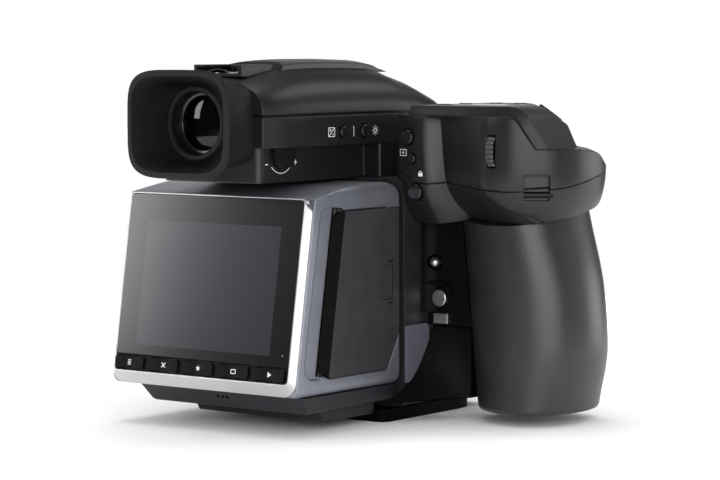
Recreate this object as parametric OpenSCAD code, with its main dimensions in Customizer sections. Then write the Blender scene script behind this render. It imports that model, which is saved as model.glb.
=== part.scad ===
// Medium format digital camera: sensor unit, mirror body, grip and finder, each built from its own pieces.
// Origin at the tripod thread on the base, +X towards the grip, +Y towards the lens, +Z up. Millimetres.

/* [Body] */
// Width of the mirror body
body_w = 85; // [82:0.5:88]
// From the tripod thread back to the seam with the sensor unit
seam_back = 28; // [26:0.5:30]
// From the tripod thread forward to the lens flange
flange_fore = 31; // [30:0.5:33]
// From the deck down to the lens axis
axis_drop = 38; // [37:0.5:39]
// Height of the deck that the finder stands on
deck_h = 88; // [87:0.5:90]
// Thickness of the base plate
base_t = 4.6; // [4:0.2:6]
// Wall of the mirror box
box_wall = 13; // [11:0.5:14]
// Radius of the lens throat
throat_r = 30; // [28:0.5:30.5]
// Outer radius of the bayonet ring
bayonet_r = 36.5; // [35.5:0.5:38]
// Length of the reflex mirror
mirror_l = 44; // [36:0.5:46]
// Thread core radius of the large tripod screw
thread_large_r = 3.97; // [3.9:0.01:4.2]
// Thread core radius of the small tripod screw
thread_small_r = 2.55; // [2.4:0.01:2.7]

/* [Sensor unit] */
// Width of the sensor unit's housing
back_w = 85; // [82:0.5:88]
// From the seam back to the middle of the screen
back_d = 60; // [56:0.5:64]
// Height of the middle of the screen above the base
screen_h = 51; // [50:0.5:52]
// Backward lean of the screen from the vertical
screen_tilt = 9.3; // [6:0.1:11]
// Width of the screen glass
glass_w = 79.8; // [76:0.2:80]
// From the top of the sensor unit down to the glass
glass_drop = 4.5; // [4.3:0.1:6]
// Depth of the glass and key strip below the screen's middle
glass_down = 32.1; // [31:0.1:33]
// Height of the key strip
strip_h = 5.9; // [5.4:0.1:7]
// Pitch of the keys
key_pitch = 16.2; // [15:0.1:16.4]
// Width of the bright frame's bevel at the bottom
frame_low = 4.4; // [3.6:0.1:4.8]
// Depth of the bright frame
frame_deep = 2.6; // [2:0.1:3.2]
// From the deck down to the top of the sensor unit
back_drop = 0.7; // [0.6:0.1:1.5]
// Height of the underside of the sensor unit's housing
back_foot = 13.6; // [13:0.1:14]
// Thickness of the card door
door_t = 2; // [1.6:0.1:2.4]
// Lean of the card door's hinge edge
door_lean = 9.6; // [6:0.1:10.5]

/* [Finder] */
// Half width of the finder's button band
band_half = 27; // [25:0.5:29]
// Height of the band's underside above the deck
band_low = 12.4; // [12:0.2:14]
// Height of the band's top above the deck
band_high = 23.2; // [22:0.2:24]
// Height of the eyepiece above the deck
eye_up = 21; // [20:0.5:22]
// Length of the eyecup
eyecup_l = 18; // [15:0.5:20]
// Radius of the eyepiece lens
eye_lens_r = 9.9; // [9:0.1:10.4]
// Radius of the dioptre dial
dial_r = 5.8; // [5:0.1:6.2]
// Half width of the pop-up flash
flash_half = 13; // [12:0.5:14]
// Inner width of the accessory shoe
shoe_w = 18.7; // [18.6:0.05:18.8]

/* [Grip] */
// Inner edge of the hand grip at its top
grip_in = 53.5; // [53:0.5:56]
// Outward slant of the hand grip's inner edge per unit of height
grip_slant = 0.1; // [0.06:0.01:0.12]
// Depth of the hand grip behind its spine
grip_rear = 23.5; // [22:0.5:25]
// Outer edge of the grip head
head_right = 106; // [104:0.5:108]
// Rear edge of the grip head
head_rear = 31; // [30:0.5:32]
// Front edge of the grip head
head_front = 27; // [26:0.5:29]
// Height of the grip head above the body's deck
head_up = 26.6; // [24:0.1:27]
// Thickness of the top panel
panel_t = 3.4; // [2.8:0.1:3.8]
// Depth of the thumb hollow
thumb_deep = 5.2; // [4:0.1:6.5]
// Radius of the control wheels
wheel_r = 9; // [8:0.1:9.6]
// Width of the control wheels
wheel_w = 3; // [2.4:0.1:3.4]
// Radius of the shutter button
shutter_r = 5; // [4.4:0.1:5.4]

/* [Fits] */
// Gap round buttons and between pieces that part
gap = 0.4; // [0.3:0.05:0.5]
// Radial clearance of pins and axles
pin_fit = 0.05; // [0.02:0.01:0.1]
// Travel of the buttons
press = 0.8; // [0.5:0.1:1]

/* [Hidden] */

// Planes and lines that pieces share
seam_y = -seam_back;
screen_y = seam_y - back_d;
axis_z = deck_h - axis_drop;
back_top = deck_h - back_drop;
glass_up = (back_top - glass_drop - screen_h) / cos(screen_tilt);
head_h = deck_h + head_up;
eye_h = deck_h + eye_up;
back_face = seam_y - gap / 2;
body_half = body_w / 2;
back_half = back_w / 2;
glass_half = glass_w / 2;
arc_steps = 6;
far = 300;
skin = 1;

// Superellipse point at angle a, with exponent n
function oval_point(a, n) =
    [sign(cos(a)) * pow(abs(cos(a)), 2 / n), sign(sin(a)) * pow(abs(sin(a)), 2 / n)];

// Closed ring round mid that reaches left, right, rear and front, at one height
function oval(mid, left, right, rear, front, n, z, sides) = [
    for (i = [0:sides - 1])
        let (p = oval_point(360 * i / sides, n))
        [mid[0] + p[0] * (p[0] < 0 ? left : right), mid[1] + p[1] * (p[1] < 0 ? rear : front), z]
];

// Arc that rounds the corner b between a and c
function corner_arc(a, b, c, r) =
    let (
        u = (a - b) / norm(a - b),
        v = (c - b) / norm(c - b),
        half = acos(u * v) / 2,
        centre = b + (u + v) / norm(u + v) * r / sin(half),
        from = b + u * r / tan(half) - centre,
        to = b + v * r / tan(half) - centre,
        start = atan2(from[1], from[0]),
        sweep = (atan2(to[1], to[0]) - start + 540) % 360 - 180
    )
    [for (i = [0:arc_steps]) let (t = start + sweep * i / arc_steps) centre + r * [cos(t), sin(t)]];

function flat(p) = [p[0], p[1]];

// Outline whose corners are given as [x, y, radius]
function soft(pts) =
    let (n = len(pts))
    [for (i = [0:n - 1]) each pts[i][2] > 0
        ? corner_arc(flat(pts[(i + n - 1) % n]), flat(pts[i]), flat(pts[(i + 1) % n]), pts[i][2])
        : [flat(pts[i])]];

function soft_box(x0, x1, y0, y1, r) = soft([[x0, y0, r], [x1, y0, r], [x1, y1, r], [x0, y1, r]]);

// Solid skinned over rings that climb from the first to the last
module loft(rings) {
    sides = len(rings[0]);
    last = len(rings) - 1;
    polyhedron(
        points = [for (ring = rings) each ring],
        faces = concat(
            [[for (i = [0:sides - 1]) i]],
            [for (k = [0:last - 1]) for (i = [0:sides - 1])
                let (j = (i + 1) % sides, a = k * sides, b = a + sides)
                each [[a + i, b + i, b + j], [a + i, b + j, a + j]]],
            [[for (i = [sides - 1:-1:0]) last * sides + i]]
        )
    );
}

// Smooth curve through stations, each a list of numbers, at count steps a span
function station(s, k) = s[max(0, min(len(s) - 1, k))];
function smooth(s, count) = [
    for (k = [0:len(s) - 2]) for (i = [0:count - 1 + (k == len(s) - 2 ? 1 : 0)])
        let (t = i / count, a = station(s, k - 1), b = s[k], c = s[k + 1], d = station(s, k + 2))
        (2 * b + (c - a) * t + (2 * a - 5 * b + 4 * c - d) * t * t + (3 * b - a - 3 * c + d) * t * t * t) / 2
];

// Drawing planes: x across, y up the face, z out of it
module on_screen() { translate([0, screen_y, screen_h]) rotate([90 - screen_tilt, 0, 0]) children(); }
module facing_right(x) { translate([x, 0, 0]) rotate([90, 0, 90]) children(); }
module facing_rear(y) { translate([0, y, 0]) rotate([90, 0, 0]) children(); }
module facing_front(y) { translate([0, y, 0]) rotate([90, 0, 180]) children(); }

// Point of the side view at height v up the screen and w out of it
function side_point(v, w) = [
    screen_y + v * sin(screen_tilt) - w * cos(screen_tilt),
    screen_h + v * cos(screen_tilt) + w * sin(screen_tilt)
];

// Wheel with a ribbed rim on stub axles, axis along z
module ribbed_wheel(r, w, ribs) {
    difference() {
        cylinder(r = r, h = w, center = true, $fn = 96);
        for (i = [0:ribs - 1])
            rotate([0, 0, 360 * i / ribs])
                translate([r + rib_r / 3, 0, 0])
                    cylinder(r = rib_r, h = w + 2 * skin, center = true, $fn = 24);
    }
    cylinder(r = axle_r, h = w + 2 * axle_reach, center = true, $fn = 32);
}
rib_r = 0.7;
axle_r = 1.2;
axle_reach = 2.5;
wheel_ribs = 36;

// Room that a wheel needs: its drum, its bores and its slot towards the skin
module wheel_room(r, w) {
    cylinder(r = r + gap, h = w + 2 * gap, center = true, $fn = 96);
    cylinder(r = axle_r + pin_fit, h = w + 2 * axle_reach + 2 * gap, center = true, $fn = 32);
}

// Sensor unit

frame_half = back_half - 0.3;
frame_top = glass_up + 0.7;
well_r = 1.5;
glass_r = 1.2;
frame_bottom = glass_down + frame_low;
frame_lip = 0.5;
frame_r = 5;
housing_front = seam_y - 3;
housing_r = 4.5;
top_rise = back_top - 1.1;
top_rise_y = screen_y + 26;
foot_y = screen_y + 3;
housing_rounds = [1.5, 2, 6, 0.8];

module housing_form() {
    low = side_point(-frame_bottom, -frame_deep);
    high = side_point(frame_top, -frame_deep);
    intersection() {
        facing_right(-back_half)
            linear_extrude(back_w)
                polygon(soft([
                    [low[0], low[1], housing_rounds[0]], [foot_y, back_foot, 0],
                    [housing_front, back_foot, housing_rounds[1]], [housing_front, back_top, housing_rounds[2]],
                    [top_rise_y, top_rise, 0], [high[0], high[1], housing_rounds[3]]
                ]));
        facing_rear(housing_front)
            linear_extrude(back_d + frame_bottom)
                polygon(soft_box(-back_half, back_half, back_foot, back_top, housing_r));
    }
}

door_rear_low = screen_y + 9.5;
door_front = screen_y + 49.5;
door_low = back_foot + 6.3;
door_high = back_top - 9.2;
door_mid = (door_low + door_high) / 2;
// Low end, high end and reach of the door's finger tab
door_tab = [door_mid - 5, door_mid + 9.5, 4];
tab_dish = [0.6, 1, 4];
door_rounds = [6, 1.5, 1, 5];
door_face = back_half + 0.5;
door_bevel = 5;
door_bevel_t = 1.5;
hinge_in = 2.2;
hinge_drop = 0.8;
hinge_x = door_face - door_t - hinge_drop;
knuckle_r = 1.7;
door_pin_r = 0.8;
channel_r = 3;
relief_w = 8;
relief_t = 1.2;
relief_rounds = [5, 4];
door_edge = (door_high - door_low) * tan(door_lean);

function door_outline(grow) = soft([
    [door_rear_low - grow, door_low - grow, door_rounds[0]],
    [door_front + grow, door_low - grow, door_rounds[1]],
    [door_front + grow, door_high + grow, door_rounds[2]],
    [door_rear_low + door_edge - grow, door_high + grow, door_rounds[3]]
]);

module door_plan(grow) {
    polygon(door_outline(grow));
    translate([door_front - skin, door_tab[0] - grow])
        square([door_tab[2] + skin + grow, door_tab[1] - door_tab[0] + 2 * grow]);
}

// Puts z along the card door's hinge, from its low end
module on_hinge() {
    translate([hinge_x, door_rear_low, door_low])
        rotate([-door_lean, 0, 0])
            translate([0, hinge_in, 0])
                children();
}
hinge_l = (door_high - door_low) / cos(door_lean);
hinge_end = 2.2;
channel_in = 1;
channel_over = 1.6;
pin_reach = 4;

// Card bay: floor, rear, low end, front and high end
bay = [back_half - 9.1, screen_y + 24, door_low + 7.1, screen_y + 46, door_high - 6.1];
slot_block_x = bay[0] - 9.4;

module card_bay_cut() {
    translate([bay[0], bay[1], bay[2]]) cube([far, bay[3] - bay[1], bay[4] - bay[2]]);
    translate([slot_block_x, bay[1], bay[2]])
        cube([bay[0] - slot_block_x + skin, bay[3] - bay[1], bay[4] - bay[2]]);
}

latch_low = door_low + 13.8;
latch_t = 1.4;
latch_rise = (latch_low - door_low) / (housing_front + skin - door_front - gap);
function latch_outline(grow) = [
    [door_front + gap - grow, door_low - grow * (1 + latch_rise)], [housing_front + skin, latch_low - grow],
    [housing_front + skin, door_high + grow], [door_front + gap - grow, door_high + grow]
];

sensor_half = 31;
sensor_up = 24;
sensor_y = housing_front - 8;
sensor_t = 4;
sensor_rim = 3;
gate_in = 2;
gate_r = 4;

module back_housing() {
    color("#8d929c")
    difference() {
        housing_form();
        on_screen() {
            translate([0, 0, -glass_t - lcd_t])
                linear_extrude(far)
                    polygon(soft_box(-glass_half, glass_half, strip_top, glass_up, well_r));
            translate([0, 0, -key_drop - strip_t])
                linear_extrude(far)
                    polygon(soft_box(-glass_half, glass_half, -glass_down, strip_top + skin, well_r));
            for (i = [-2:2]) key_at(i) translate([0, 0, -key_drop - strip_t - key_stem_l])
                cylinder(r = stem_r + pin_fit, h = far, $fn = 32);
        }
        facing_right(door_face - door_t - gap) linear_extrude(far) door_plan(gap);
        facing_right(back_half - relief_t)
            linear_extrude(far)
                polygon(soft([
                    [door_rear_low - relief_w - skin, door_low, relief_rounds[0]],
                    [door_rear_low + skin, door_low, 0],
                    [door_rear_low + door_edge + skin, door_high + channel_over, 0],
                    [door_rear_low + door_edge - relief_w, door_high + channel_over, relief_rounds[1]]
                ]));
        facing_right(back_half - latch_t) linear_extrude(far) polygon(latch_outline(0));
        on_hinge()
            translate([0, 0, channel_in])
                cylinder(r = channel_r, h = hinge_l + channel_over - channel_in, $fn = 48);
        on_hinge()
            translate([0, 0, -pin_reach])
                cylinder(r = door_pin_r + pin_fit, h = hinge_l + 2 * pin_reach, $fn = 32);
        card_bay_cut();
        translate([-sensor_half, sensor_y, axis_z - sensor_up]) cube([2 * sensor_half, far, 2 * sensor_up]);
    }
}

cover_left = -34.5;
cover_right = back_half - 2;
cover_low = 7.4;
belly_left = -21;
belly_low = 3.2;
belly_rear = screen_y + 17;
cover_slope = 4;
mic_pitch = 2.1;
mic_r = 0.6;
mic_z = 11.4;

module back_lower_cover() {
    color("#1d1e20")
    difference() {
        union() {
            intersection() {
                facing_right(cover_left)
                    linear_extrude(cover_right - cover_left)
                        polygon(soft([
                            [foot_y, back_foot, 0], [foot_y + cover_slope, cover_low, 2],
                            [housing_front, cover_low, 2], [housing_front, back_foot, 0]
                        ]));
                facing_rear(housing_front)
                    linear_extrude(back_d + frame_bottom)
                        polygon(soft([
                            [cover_left + 3, cover_low, 2], [cover_right - 1, cover_low, 2],
                            [cover_right, back_foot, 0], [cover_left, back_foot, 0]
                        ]));
            }
            facing_right(belly_left)
                linear_extrude(cover_right - 4 - belly_left)
                    polygon(soft([
                        [belly_rear, cover_low + skin, 0], [belly_rear + 3, belly_low, 2],
                        [base_rear - gap, belly_low, 2], [base_rear - gap, cover_low + skin, 0]
                    ]));
        }
        for (i = [-1:1])
            translate([3 + i * mic_pitch, foot_y + cover_slope / 3, mic_z])
                rotate([90, 0, 0])
                    cylinder(r = mic_r, h = 4, center = true, $fn = 24);
    }
}

module interface_plate() {
    color("#17181a")
    facing_rear(back_face)
        linear_extrude(back_face - housing_front)
            difference() {
                polygon(soft_box(-back_half + skin, back_half - skin,
                    back_foot + skin, back_top - 1.5 * skin, gate_r));
                polygon(soft_box(-sensor_half + gate_in, sensor_half - gate_in,
                    axis_z - sensor_up + gate_in, axis_z + sensor_up - gate_in, well_r));
            }
}

module screen_frame() {
    color("#d9dadb")
    on_screen()
        difference() {
            hull() {
                translate([0, 0, -frame_deep])
                    linear_extrude(frame_lip)
                        polygon(soft_box(-frame_half, frame_half, -frame_bottom, frame_top, frame_r));
                linear_extrude(0.01)
                    polygon(soft_box(-glass_half - frame_lip, glass_half + frame_lip,
                        -glass_down - frame_lip, glass_up + frame_lip, well_r + frame_lip));
            }
            translate([0, 0, -frame_deep - skin])
                linear_extrude(frame_deep + 2 * skin)
                    polygon(soft_box(-glass_half, glass_half, -glass_down, glass_up, well_r));
        }
}

glass_t = 1.3;
glass_fit = 0.2;
strip_top = -glass_down + strip_h;
// From the edge of the glass in to the display's picture, at the sides and at the top
lcd_in = [9.4, 9.3];
lcd_half = [glass_half - lcd_in[0], glass_up - lcd_in[1]];
lcd_t = 4.3;
lcd_rim = 1;

module screen_glass() {
    color("#2a2c2f")
    on_screen()
        translate([0, 0, -glass_t])
            linear_extrude(glass_t)
                polygon(soft_box(-glass_half + glass_fit, glass_half - glass_fit,
                    strip_top + glass_fit / 2, glass_up - glass_fit, glass_r));
}

module screen_panel() {
    color("#3d4046")
    on_screen()
        translate([0, 0, -glass_t - lcd_t])
            linear_extrude(lcd_t)
                polygon(soft_box(-lcd_half[0] - lcd_rim, lcd_half[0] + lcd_rim,
                    -lcd_half[1] - lcd_rim, lcd_half[1] + lcd_rim, lcd_rim));
}

// Width, height and corner radius of a key
key_size = [13.4, 4.4, 0.9];
key_drop = 0.4;
strip_t = 2.7;
key_mid = -glass_down + strip_h / 2;
key_shift = -0.7;
key_stem_l = 2.4;
key_t = 1.8;
key_proud = 0.3;
key_dish_r = 20;

module key_at(i) { translate([key_shift + i * key_pitch, key_mid, 0]) children(); }

module key_strip() {
    color("#222326")
    on_screen()
        translate([0, 0, -key_drop - strip_t])
            linear_extrude(strip_t)
                difference() {
                    polygon(soft_box(-glass_half + glass_fit, glass_half - glass_fit,
                        -glass_down + glass_fit, strip_top - glass_fit / 2, glass_r));
                    for (i = [-2:2])
                        key_at(i)
                            polygon(soft_box(-key_size[0] / 2 - gap / 2, key_size[0] / 2 + gap / 2,
                                -key_size[1] / 2 - gap / 2, key_size[1] / 2 + gap / 2, key_size[2] + gap / 2));
                }
}

module key(i) {
    color("#26272a")
    on_screen()
        key_at(i)
            difference() {
                union() {
                    translate([0, 0, -key_t])
                        linear_extrude(key_t + key_proud)
                            polygon(soft_box(-key_size[0] / 2, key_size[0] / 2,
                                -key_size[1] / 2, key_size[1] / 2, key_size[2]));
                    translate([0, 0, -key_t - key_stem_l]) cylinder(r = stem_r, h = key_stem_l, $fn = 32);
                }
                translate([0, 0, key_dish_r])
                    rotate([90, 0, 0])
                        cylinder(r = key_dish_r, h = 2 * key_size[1], center = true, $fn = 96);
            }
}

module menu_key() { key(-2); }
module cross_key() { key(-1); }
module star_key() { key(0); }
module ring_key() { key(1); }
module play_key() { key(2); }

module card_door() {
    color("#202124")
    difference() {
        union() {
            facing_right(door_face - door_t) linear_extrude(door_t) door_plan(0);
            on_hinge()
                translate([0, 0, hinge_end])
                    cylinder(r = knuckle_r, h = hinge_l - 2 * hinge_end, $fn = 48);
        }
        on_hinge()
            translate([0, 0, -far / 2])
                cylinder(r = door_pin_r + pin_fit, h = far, $fn = 32);
        on_hinge()
            translate([door_face - door_bevel_t - hinge_x, -hinge_in, -far / 2])
                rotate([0, 0, -atan(door_bevel_t / door_bevel)])
                    translate([0, -far, 0])
                        cube([far, 2 * far, far]);
        facing_right(door_face - tab_dish[0])
            linear_extrude(far)
                polygon(soft_box(door_front - tab_dish[2], door_front + door_tab[2] - tab_dish[1],
                    door_tab[0] + tab_dish[1], door_tab[1] - tab_dish[1], tab_dish[1]));
    }
}

module door_pin() {
    color("silver")
    on_hinge()
        translate([0, 0, -pin_reach])
            cylinder(r = door_pin_r, h = hinge_l + 2 * pin_reach, $fn = 32);
}

module latch_strip() {
    color("#1b1c1e")
    difference() {
        facing_right(back_half - latch_t)
            linear_extrude(latch_t)
                intersection() {
                    polygon(latch_outline(-gap / 2));
                    polygon([[-far, -far], [housing_front, -far], [housing_front, far], [-far, far]]);
                }
        facing_right(door_face - door_t - gap) linear_extrude(far) door_plan(gap);
    }
}

card_slot = [43.4, 3.8];
small_slot = [24.8, 2.6];
slot_deep = 7;
slot_in = 6;

module card_slots() {
    color("#303236")
    difference() {
        translate([slot_block_x, bay[1], bay[2]])
            cube([bay[0] - slot_block_x, bay[3] - bay[1], bay[4] - bay[2]]);
        translate([bay[0] - slot_deep, bay[3] - slot_in, (bay[2] + bay[4] - card_slot[0]) / 2])
            cube([far, card_slot[1], card_slot[0]]);
        translate([bay[0] - slot_deep, bay[1] + slot_in, (bay[2] + bay[4] - small_slot[0]) / 2])
            cube([far, small_slot[1], small_slot[0]]);
    }
}

module image_sensor() {
    color("#39424a")
    translate([-sensor_half + skin, sensor_y, axis_z - sensor_up + skin])
        difference() {
            cube([2 * (sensor_half - skin), sensor_t + sensor_rim, 2 * (sensor_up - skin)]);
            translate([sensor_rim, sensor_t, sensor_rim])
                cube([2 * (sensor_half - skin - sensor_rim), far, 2 * (sensor_up - skin - sensor_rim)]);
        }
}

// Mirror body

base_rear = seam_y - 10;
base_fore = flange_fore - 4;
base_half = body_half - 1.5;
base_left_in = 8;
base_rounds = [4, 18];
plate_back = flange_fore - 7;
plate_face = flange_fore - 1.6;
box_half = body_half - box_wall;
box_low = axis_z - 31;
box_high = deck_h - 9;
screen_half = [25.5, 20];
screen_mid_y = 0;
screen_ledge = 2;
screen_t = 2.5;
hole_clear_r = 5.2;
hole_deep = 9;
body_r = 3;

module body_chassis() {
    color("#2b2c2f")
    difference() {
        facing_rear(plate_back)
            linear_extrude(plate_back - seam_y - gap / 2)
                polygon(soft_box(-body_half, body_half, base_t, deck_h, body_r));
        translate([-box_half, -far / 2, box_low]) cube([2 * box_half, far, box_high - box_low]);
        translate([-screen_half[0] + screen_ledge, screen_mid_y - screen_half[1] + screen_ledge, axis_z])
            cube([2 * (screen_half[0] - screen_ledge), 2 * (screen_half[1] - screen_ledge), far]);
        translate([-screen_half[0] - pin_fit, screen_mid_y - screen_half[1] - pin_fit, deck_h - screen_t - 1])
            cube([2 * (screen_half[0] + pin_fit), 2 * (screen_half[1] + pin_fit), far]);
        translate([0, 0, base_t - skin]) cylinder(r = hole_clear_r, h = hole_deep, $fn = 48);
        translate([0, thread_pitch, base_t - skin]) cylinder(r = hole_clear_r, h = hole_deep, $fn = 48);
        translate([0, mirror_axis_y, mirror_axis_z])
            rotate([0, 90, 0])
                cylinder(r = mirror_pin_r + pin_fit, h = 2 * (box_half + pin_reach + gap),
                    center = true, $fn = 32);
        lens_release_axis() button_room(release_r, release_sunk);
    }
}

module front_plate() {
    color("#1a1b1d")
    difference() {
        facing_rear(plate_face)
            linear_extrude(plate_face - plate_back)
                polygon(soft_box(-body_half, body_half, base_t, deck_h, body_r));
        translate([0, 0, axis_z])
            rotate([90, 0, 0])
                cylinder(r = throat_r + throat_wall, h = far, center = true, $fn = 96);
        lens_pin_axis() cylinder(r = lock_pin_r + pin_fit, h = far, center = true, $fn = 32);
        lens_release_axis() button_room(release_r, release_sunk);
    }
}

lug_gap = 24;
lug_gap_r = throat_r + 1.6;
lug_gap_deep = 4;
throat_wall = 3;

module lens_mount_ring() {
    color("silver")
    translate([0, flange_fore, axis_z])
        rotate([90, 0, 0])
            difference() {
                union() {
                    cylinder(r = bayonet_r, h = flange_fore - plate_face, $fn = 128);
                    cylinder(r = throat_r + throat_wall - pin_fit, h = flange_fore - plate_back, $fn = 128);
                }
                translate([0, 0, -skin]) cylinder(r = throat_r, h = far, $fn = 128);
                for (i = [0:2])
                    rotate([0, 0, 90 + 120 * i])
                        translate([0, 0, -skin])
                            intersection() {
                                cylinder(r = lug_gap_r, h = lug_gap_deep, $fn = 96);
                                linear_extrude(lug_gap_deep)
                                    polygon([
                                        [0, 0], far * [cos(lug_gap / 2), -sin(lug_gap / 2)],
                                        far * [cos(lug_gap / 2), sin(lug_gap / 2)]
                                    ]);
                            }
                rotate([0, 0, lock_angle])
                    translate([lock_ring_r, 0, -skin])
                        cylinder(r = lock_pin_r + gap, h = far, $fn = 32);
            }
}

lock_pin_r = 1.1;
lock_ring_r = 34.6;
lock_angle = 225;
lock_proud = 1.4;
release_r = 4.6;
release_at = [-34, 17.5];
release_proud = 2.2;
release_sunk = 4;
lock_l = 6.8;

// Puts z forward along the lock pin's axis, from the flange
module lens_pin_axis() {
    translate([lock_ring_r * cos(lock_angle), flange_fore, axis_z + lock_ring_r * sin(lock_angle)])
        rotate([-90, 0, 0])
            children();
}

// Puts z forward along the release button's axis, from the front plate
module lens_release_axis() {
    translate([release_at[0], plate_face, release_at[1]])
        rotate([-90, 0, 0])
            children();
}

module lens_lock_pin() {
    color("silver")
    lens_pin_axis() translate([0, 0, -lock_l]) cylinder(r = lock_pin_r, h = lock_l + lock_proud, $fn = 32);
}

module lens_release_button() {
    color("#2a2b2d")
    lens_release_axis() push_button(release_r, release_proud, release_sunk);
}

mirror_axis_y = seam_y + 6;
mirror_axis_z = box_high - 4;
mirror_pin_r = 1.2;
mirror_half = box_half - 1.5;
mirror_t = 2.4;
mirror_tip_half = box_half - 9;
mirror_square = mirror_l * 0.7;

module reflex_mirror() {
    color("#9aa4ad")
    translate([0, mirror_axis_y, mirror_axis_z]) {
        rotate([-45, 0, 0])
            translate([0, 0, -mirror_t / 2])
                linear_extrude(mirror_t)
                    polygon([
                        [-mirror_half, 0], [mirror_half, 0], [mirror_half, mirror_square],
                        [mirror_tip_half, mirror_l], [-mirror_tip_half, mirror_l], [-mirror_half, mirror_square]
                    ]);
        rotate([0, 90, 0]) cylinder(r = mirror_pin_r, h = 2 * (box_half + pin_reach), center = true, $fn = 32);
    }
}

module focusing_screen() {
    color("#c9ced0")
    translate([-screen_half[0], screen_mid_y - screen_half[1], deck_h - screen_t - 1])
        cube([2 * screen_half[0], 2 * screen_half[1], screen_t]);
}

side_cover_t = 0.9;
side_cover_high = 34.5;
side_cover_fore = 14.5;

module side_covers() {
    color("#8d929c")
    for (side = [-1, 1])
        scale([side, 1, 1])
            facing_right(body_half)
                linear_extrude(side_cover_t)
                    polygon(soft([
                        [seam_y + gap, back_foot, 0.5], [seam_y + side_cover_fore, back_foot, 1],
                        [seam_y + side_cover_fore, side_cover_high, 2], [seam_y + gap, side_cover_high, 0.5]
                    ]));
}

thread_pitch = 17;

module base_plate() {
    color("#141516")
    difference() {
        linear_extrude(base_t)
            polygon(soft([
                [-base_half + base_left_in, base_rear, base_rounds[0]], [base_half, base_rear, base_rounds[0]],
                [base_half, base_fore, base_rounds[1]], [-base_half + base_left_in, base_fore, base_rounds[1]]
            ]));
        translate([0, 0, -skin]) cylinder(r = thread_large_r, h = far, $fn = 64);
        translate([0, thread_pitch, -skin]) cylinder(r = thread_small_r, h = far, $fn = 64);
    }
}

// Turned push button: face proud of the skin, sunk below it, on a guide stem
module push_button(r, proud, sunk) {
    rotate_extrude($fn = 48)
        polygon(concat(
            [[0, -sunk - stem_l], [stem_r, -sunk - stem_l], [stem_r, -sunk], [r, -sunk]],
            [for (i = [0:arc_steps]) let (t = 90 * i / arc_steps)
                [r - crown_r + crown_r * cos(t), proud - crown_r + crown_r * sin(t)]],
            [[0, proud]]
        ));
}
stem_r = 1;
stem_l = 2.5;
crown_r = 0.5;
press_spare = 0.2;
button_sunk = 2;
focus_proud = 1.4;
small_proud = 0.9;
shutter_proud = 0.8;

// Well and guide bore of a push button
module button_room(r, sunk) {
    translate([0, 0, -sunk - press - press_spare])
        cylinder(r = r + gap, h = room_h, $fn = 48);
    translate([0, 0, -sunk - stem_l - press - press_spare])
        cylinder(r = stem_r + pin_fit, h = room_h, $fn = 32);
}
room_h = 12;

// Grip

joint_z = head_h - 42.1;
joint_y = -20;
joint_rise = 0.2;
grip_mid_y = 2.5;
grip_fore = 23.5;
grip_half = 24;
grip_n = 2.2;
grip_sides = 44;
grip_slant_z = 70;
grip_edge = [[4.2, 1.6], [4.6, 0.6]];
// Heights of the hand grip's sections, and how far right each one reaches
grip_right = [
    [5.6, 100.6], [10, 101.8], [20, 104.6], [30, 105.6], [51, 103.6], [70, 98.4], [joint_z + 11.5, 94.4]
];

function spine(z) = grip_in + (grip_slant_z - z) * grip_slant + grip_half;

function grip_ring(z, right, grow) =
    oval([spine(z), grip_mid_y], grip_half + grow, right - spine(z) + grow, grip_rear + grow, grip_fore + grow,
        grip_n, z, grip_sides);

module grip_form(grow) {
    loft(concat(
        [for (e = grip_edge) grip_ring(e[0] - grow, grip_right[0][1], grow - e[1])],
        [for (s = smooth(grip_right, 3)) grip_ring(s[0], s[1], grow)]
    ));
}

// Everything under the slanted joint between the grip head and what hangs below it
module under_joint(drop) {
    translate([0, joint_y, joint_z - drop])
        rotate([atan(joint_rise), 0, 0])
            translate([-far / 2, -far / 2, -far])
                cube(far);
}

cell_r = 9.2;
cell_foot = 8;
cell_l = joint_z - cell_foot - 7.5;
cell_fit = 0.2;
cell_at = [79, grip_mid_y];

module each_cell() {
    for (side = [-1, 1])
        translate([cell_at[0], cell_at[1] + side * (cell_r + 2 * cell_fit), cell_foot])
            children();
}

module battery_grip() {
    color("#26272a")
    difference() {
        intersection() {
            grip_form(0);
            under_joint(gap);
        }
        each_cell() cylinder(r = cell_r + cell_fit, h = cell_l + cell_fit, $fn = 64);
    }
}

module battery_cells() {
    color("#3d5a80")
    each_cell() cylinder(r = cell_r, h = cell_l, $fn = 64);
}

web_rear = -13;
web_fore = 7;
web_low = 34;
web_right = 64;
web_over = 10;
release_z = 43.9;
release_x = body_half + 5.6;
back_release_r = 3.2;
// Inner radius, outer radius and height of the guard round the release button
guard = [5, 6.1, 2];
joint_lap = 0.01;
catch_x = body_half + 3.8;
catch_z = 57;
catch_r = 1.9;
catch_room_r = 3;
catch_sunk = 1;
catch_neck = 3;
lock_block = [6.2, 6, 3.6];
lock_block_at = [body_half + 3.5, 34.7];
lock_proud_y = 1.6;

module back_release_axis() { translate([release_x, web_rear, release_z]) rotate([90, 0, 0]) children(); }
module catch_axis() { translate([catch_x, web_rear, catch_z]) rotate([90, 0, 0]) children(); }

module lock_block_form(grow, deeper) {
    translate([lock_block_at[0] - grow, web_rear - lock_proud_y, lock_block_at[1] - grow])
        cube([lock_block[0] + 2 * grow, lock_block[1] + deeper, lock_block[2] + 2 * grow]);
}

web_corner_r = 5;
web_corner_low = lock_block_at[1] + lock_block[2] + gap;

// Hollow corner where the web leaves the side of the body
module web_corner() {
    translate([body_half, web_rear, web_corner_low])
        linear_extrude(joint_z - web_corner_low + web_over)
            difference() {
                translate([0, -web_corner_r]) square([web_corner_r, web_corner_r + skin]);
                translate([web_corner_r, -web_corner_r]) circle(r = web_corner_r, $fn = 64);
            }
}

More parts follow.
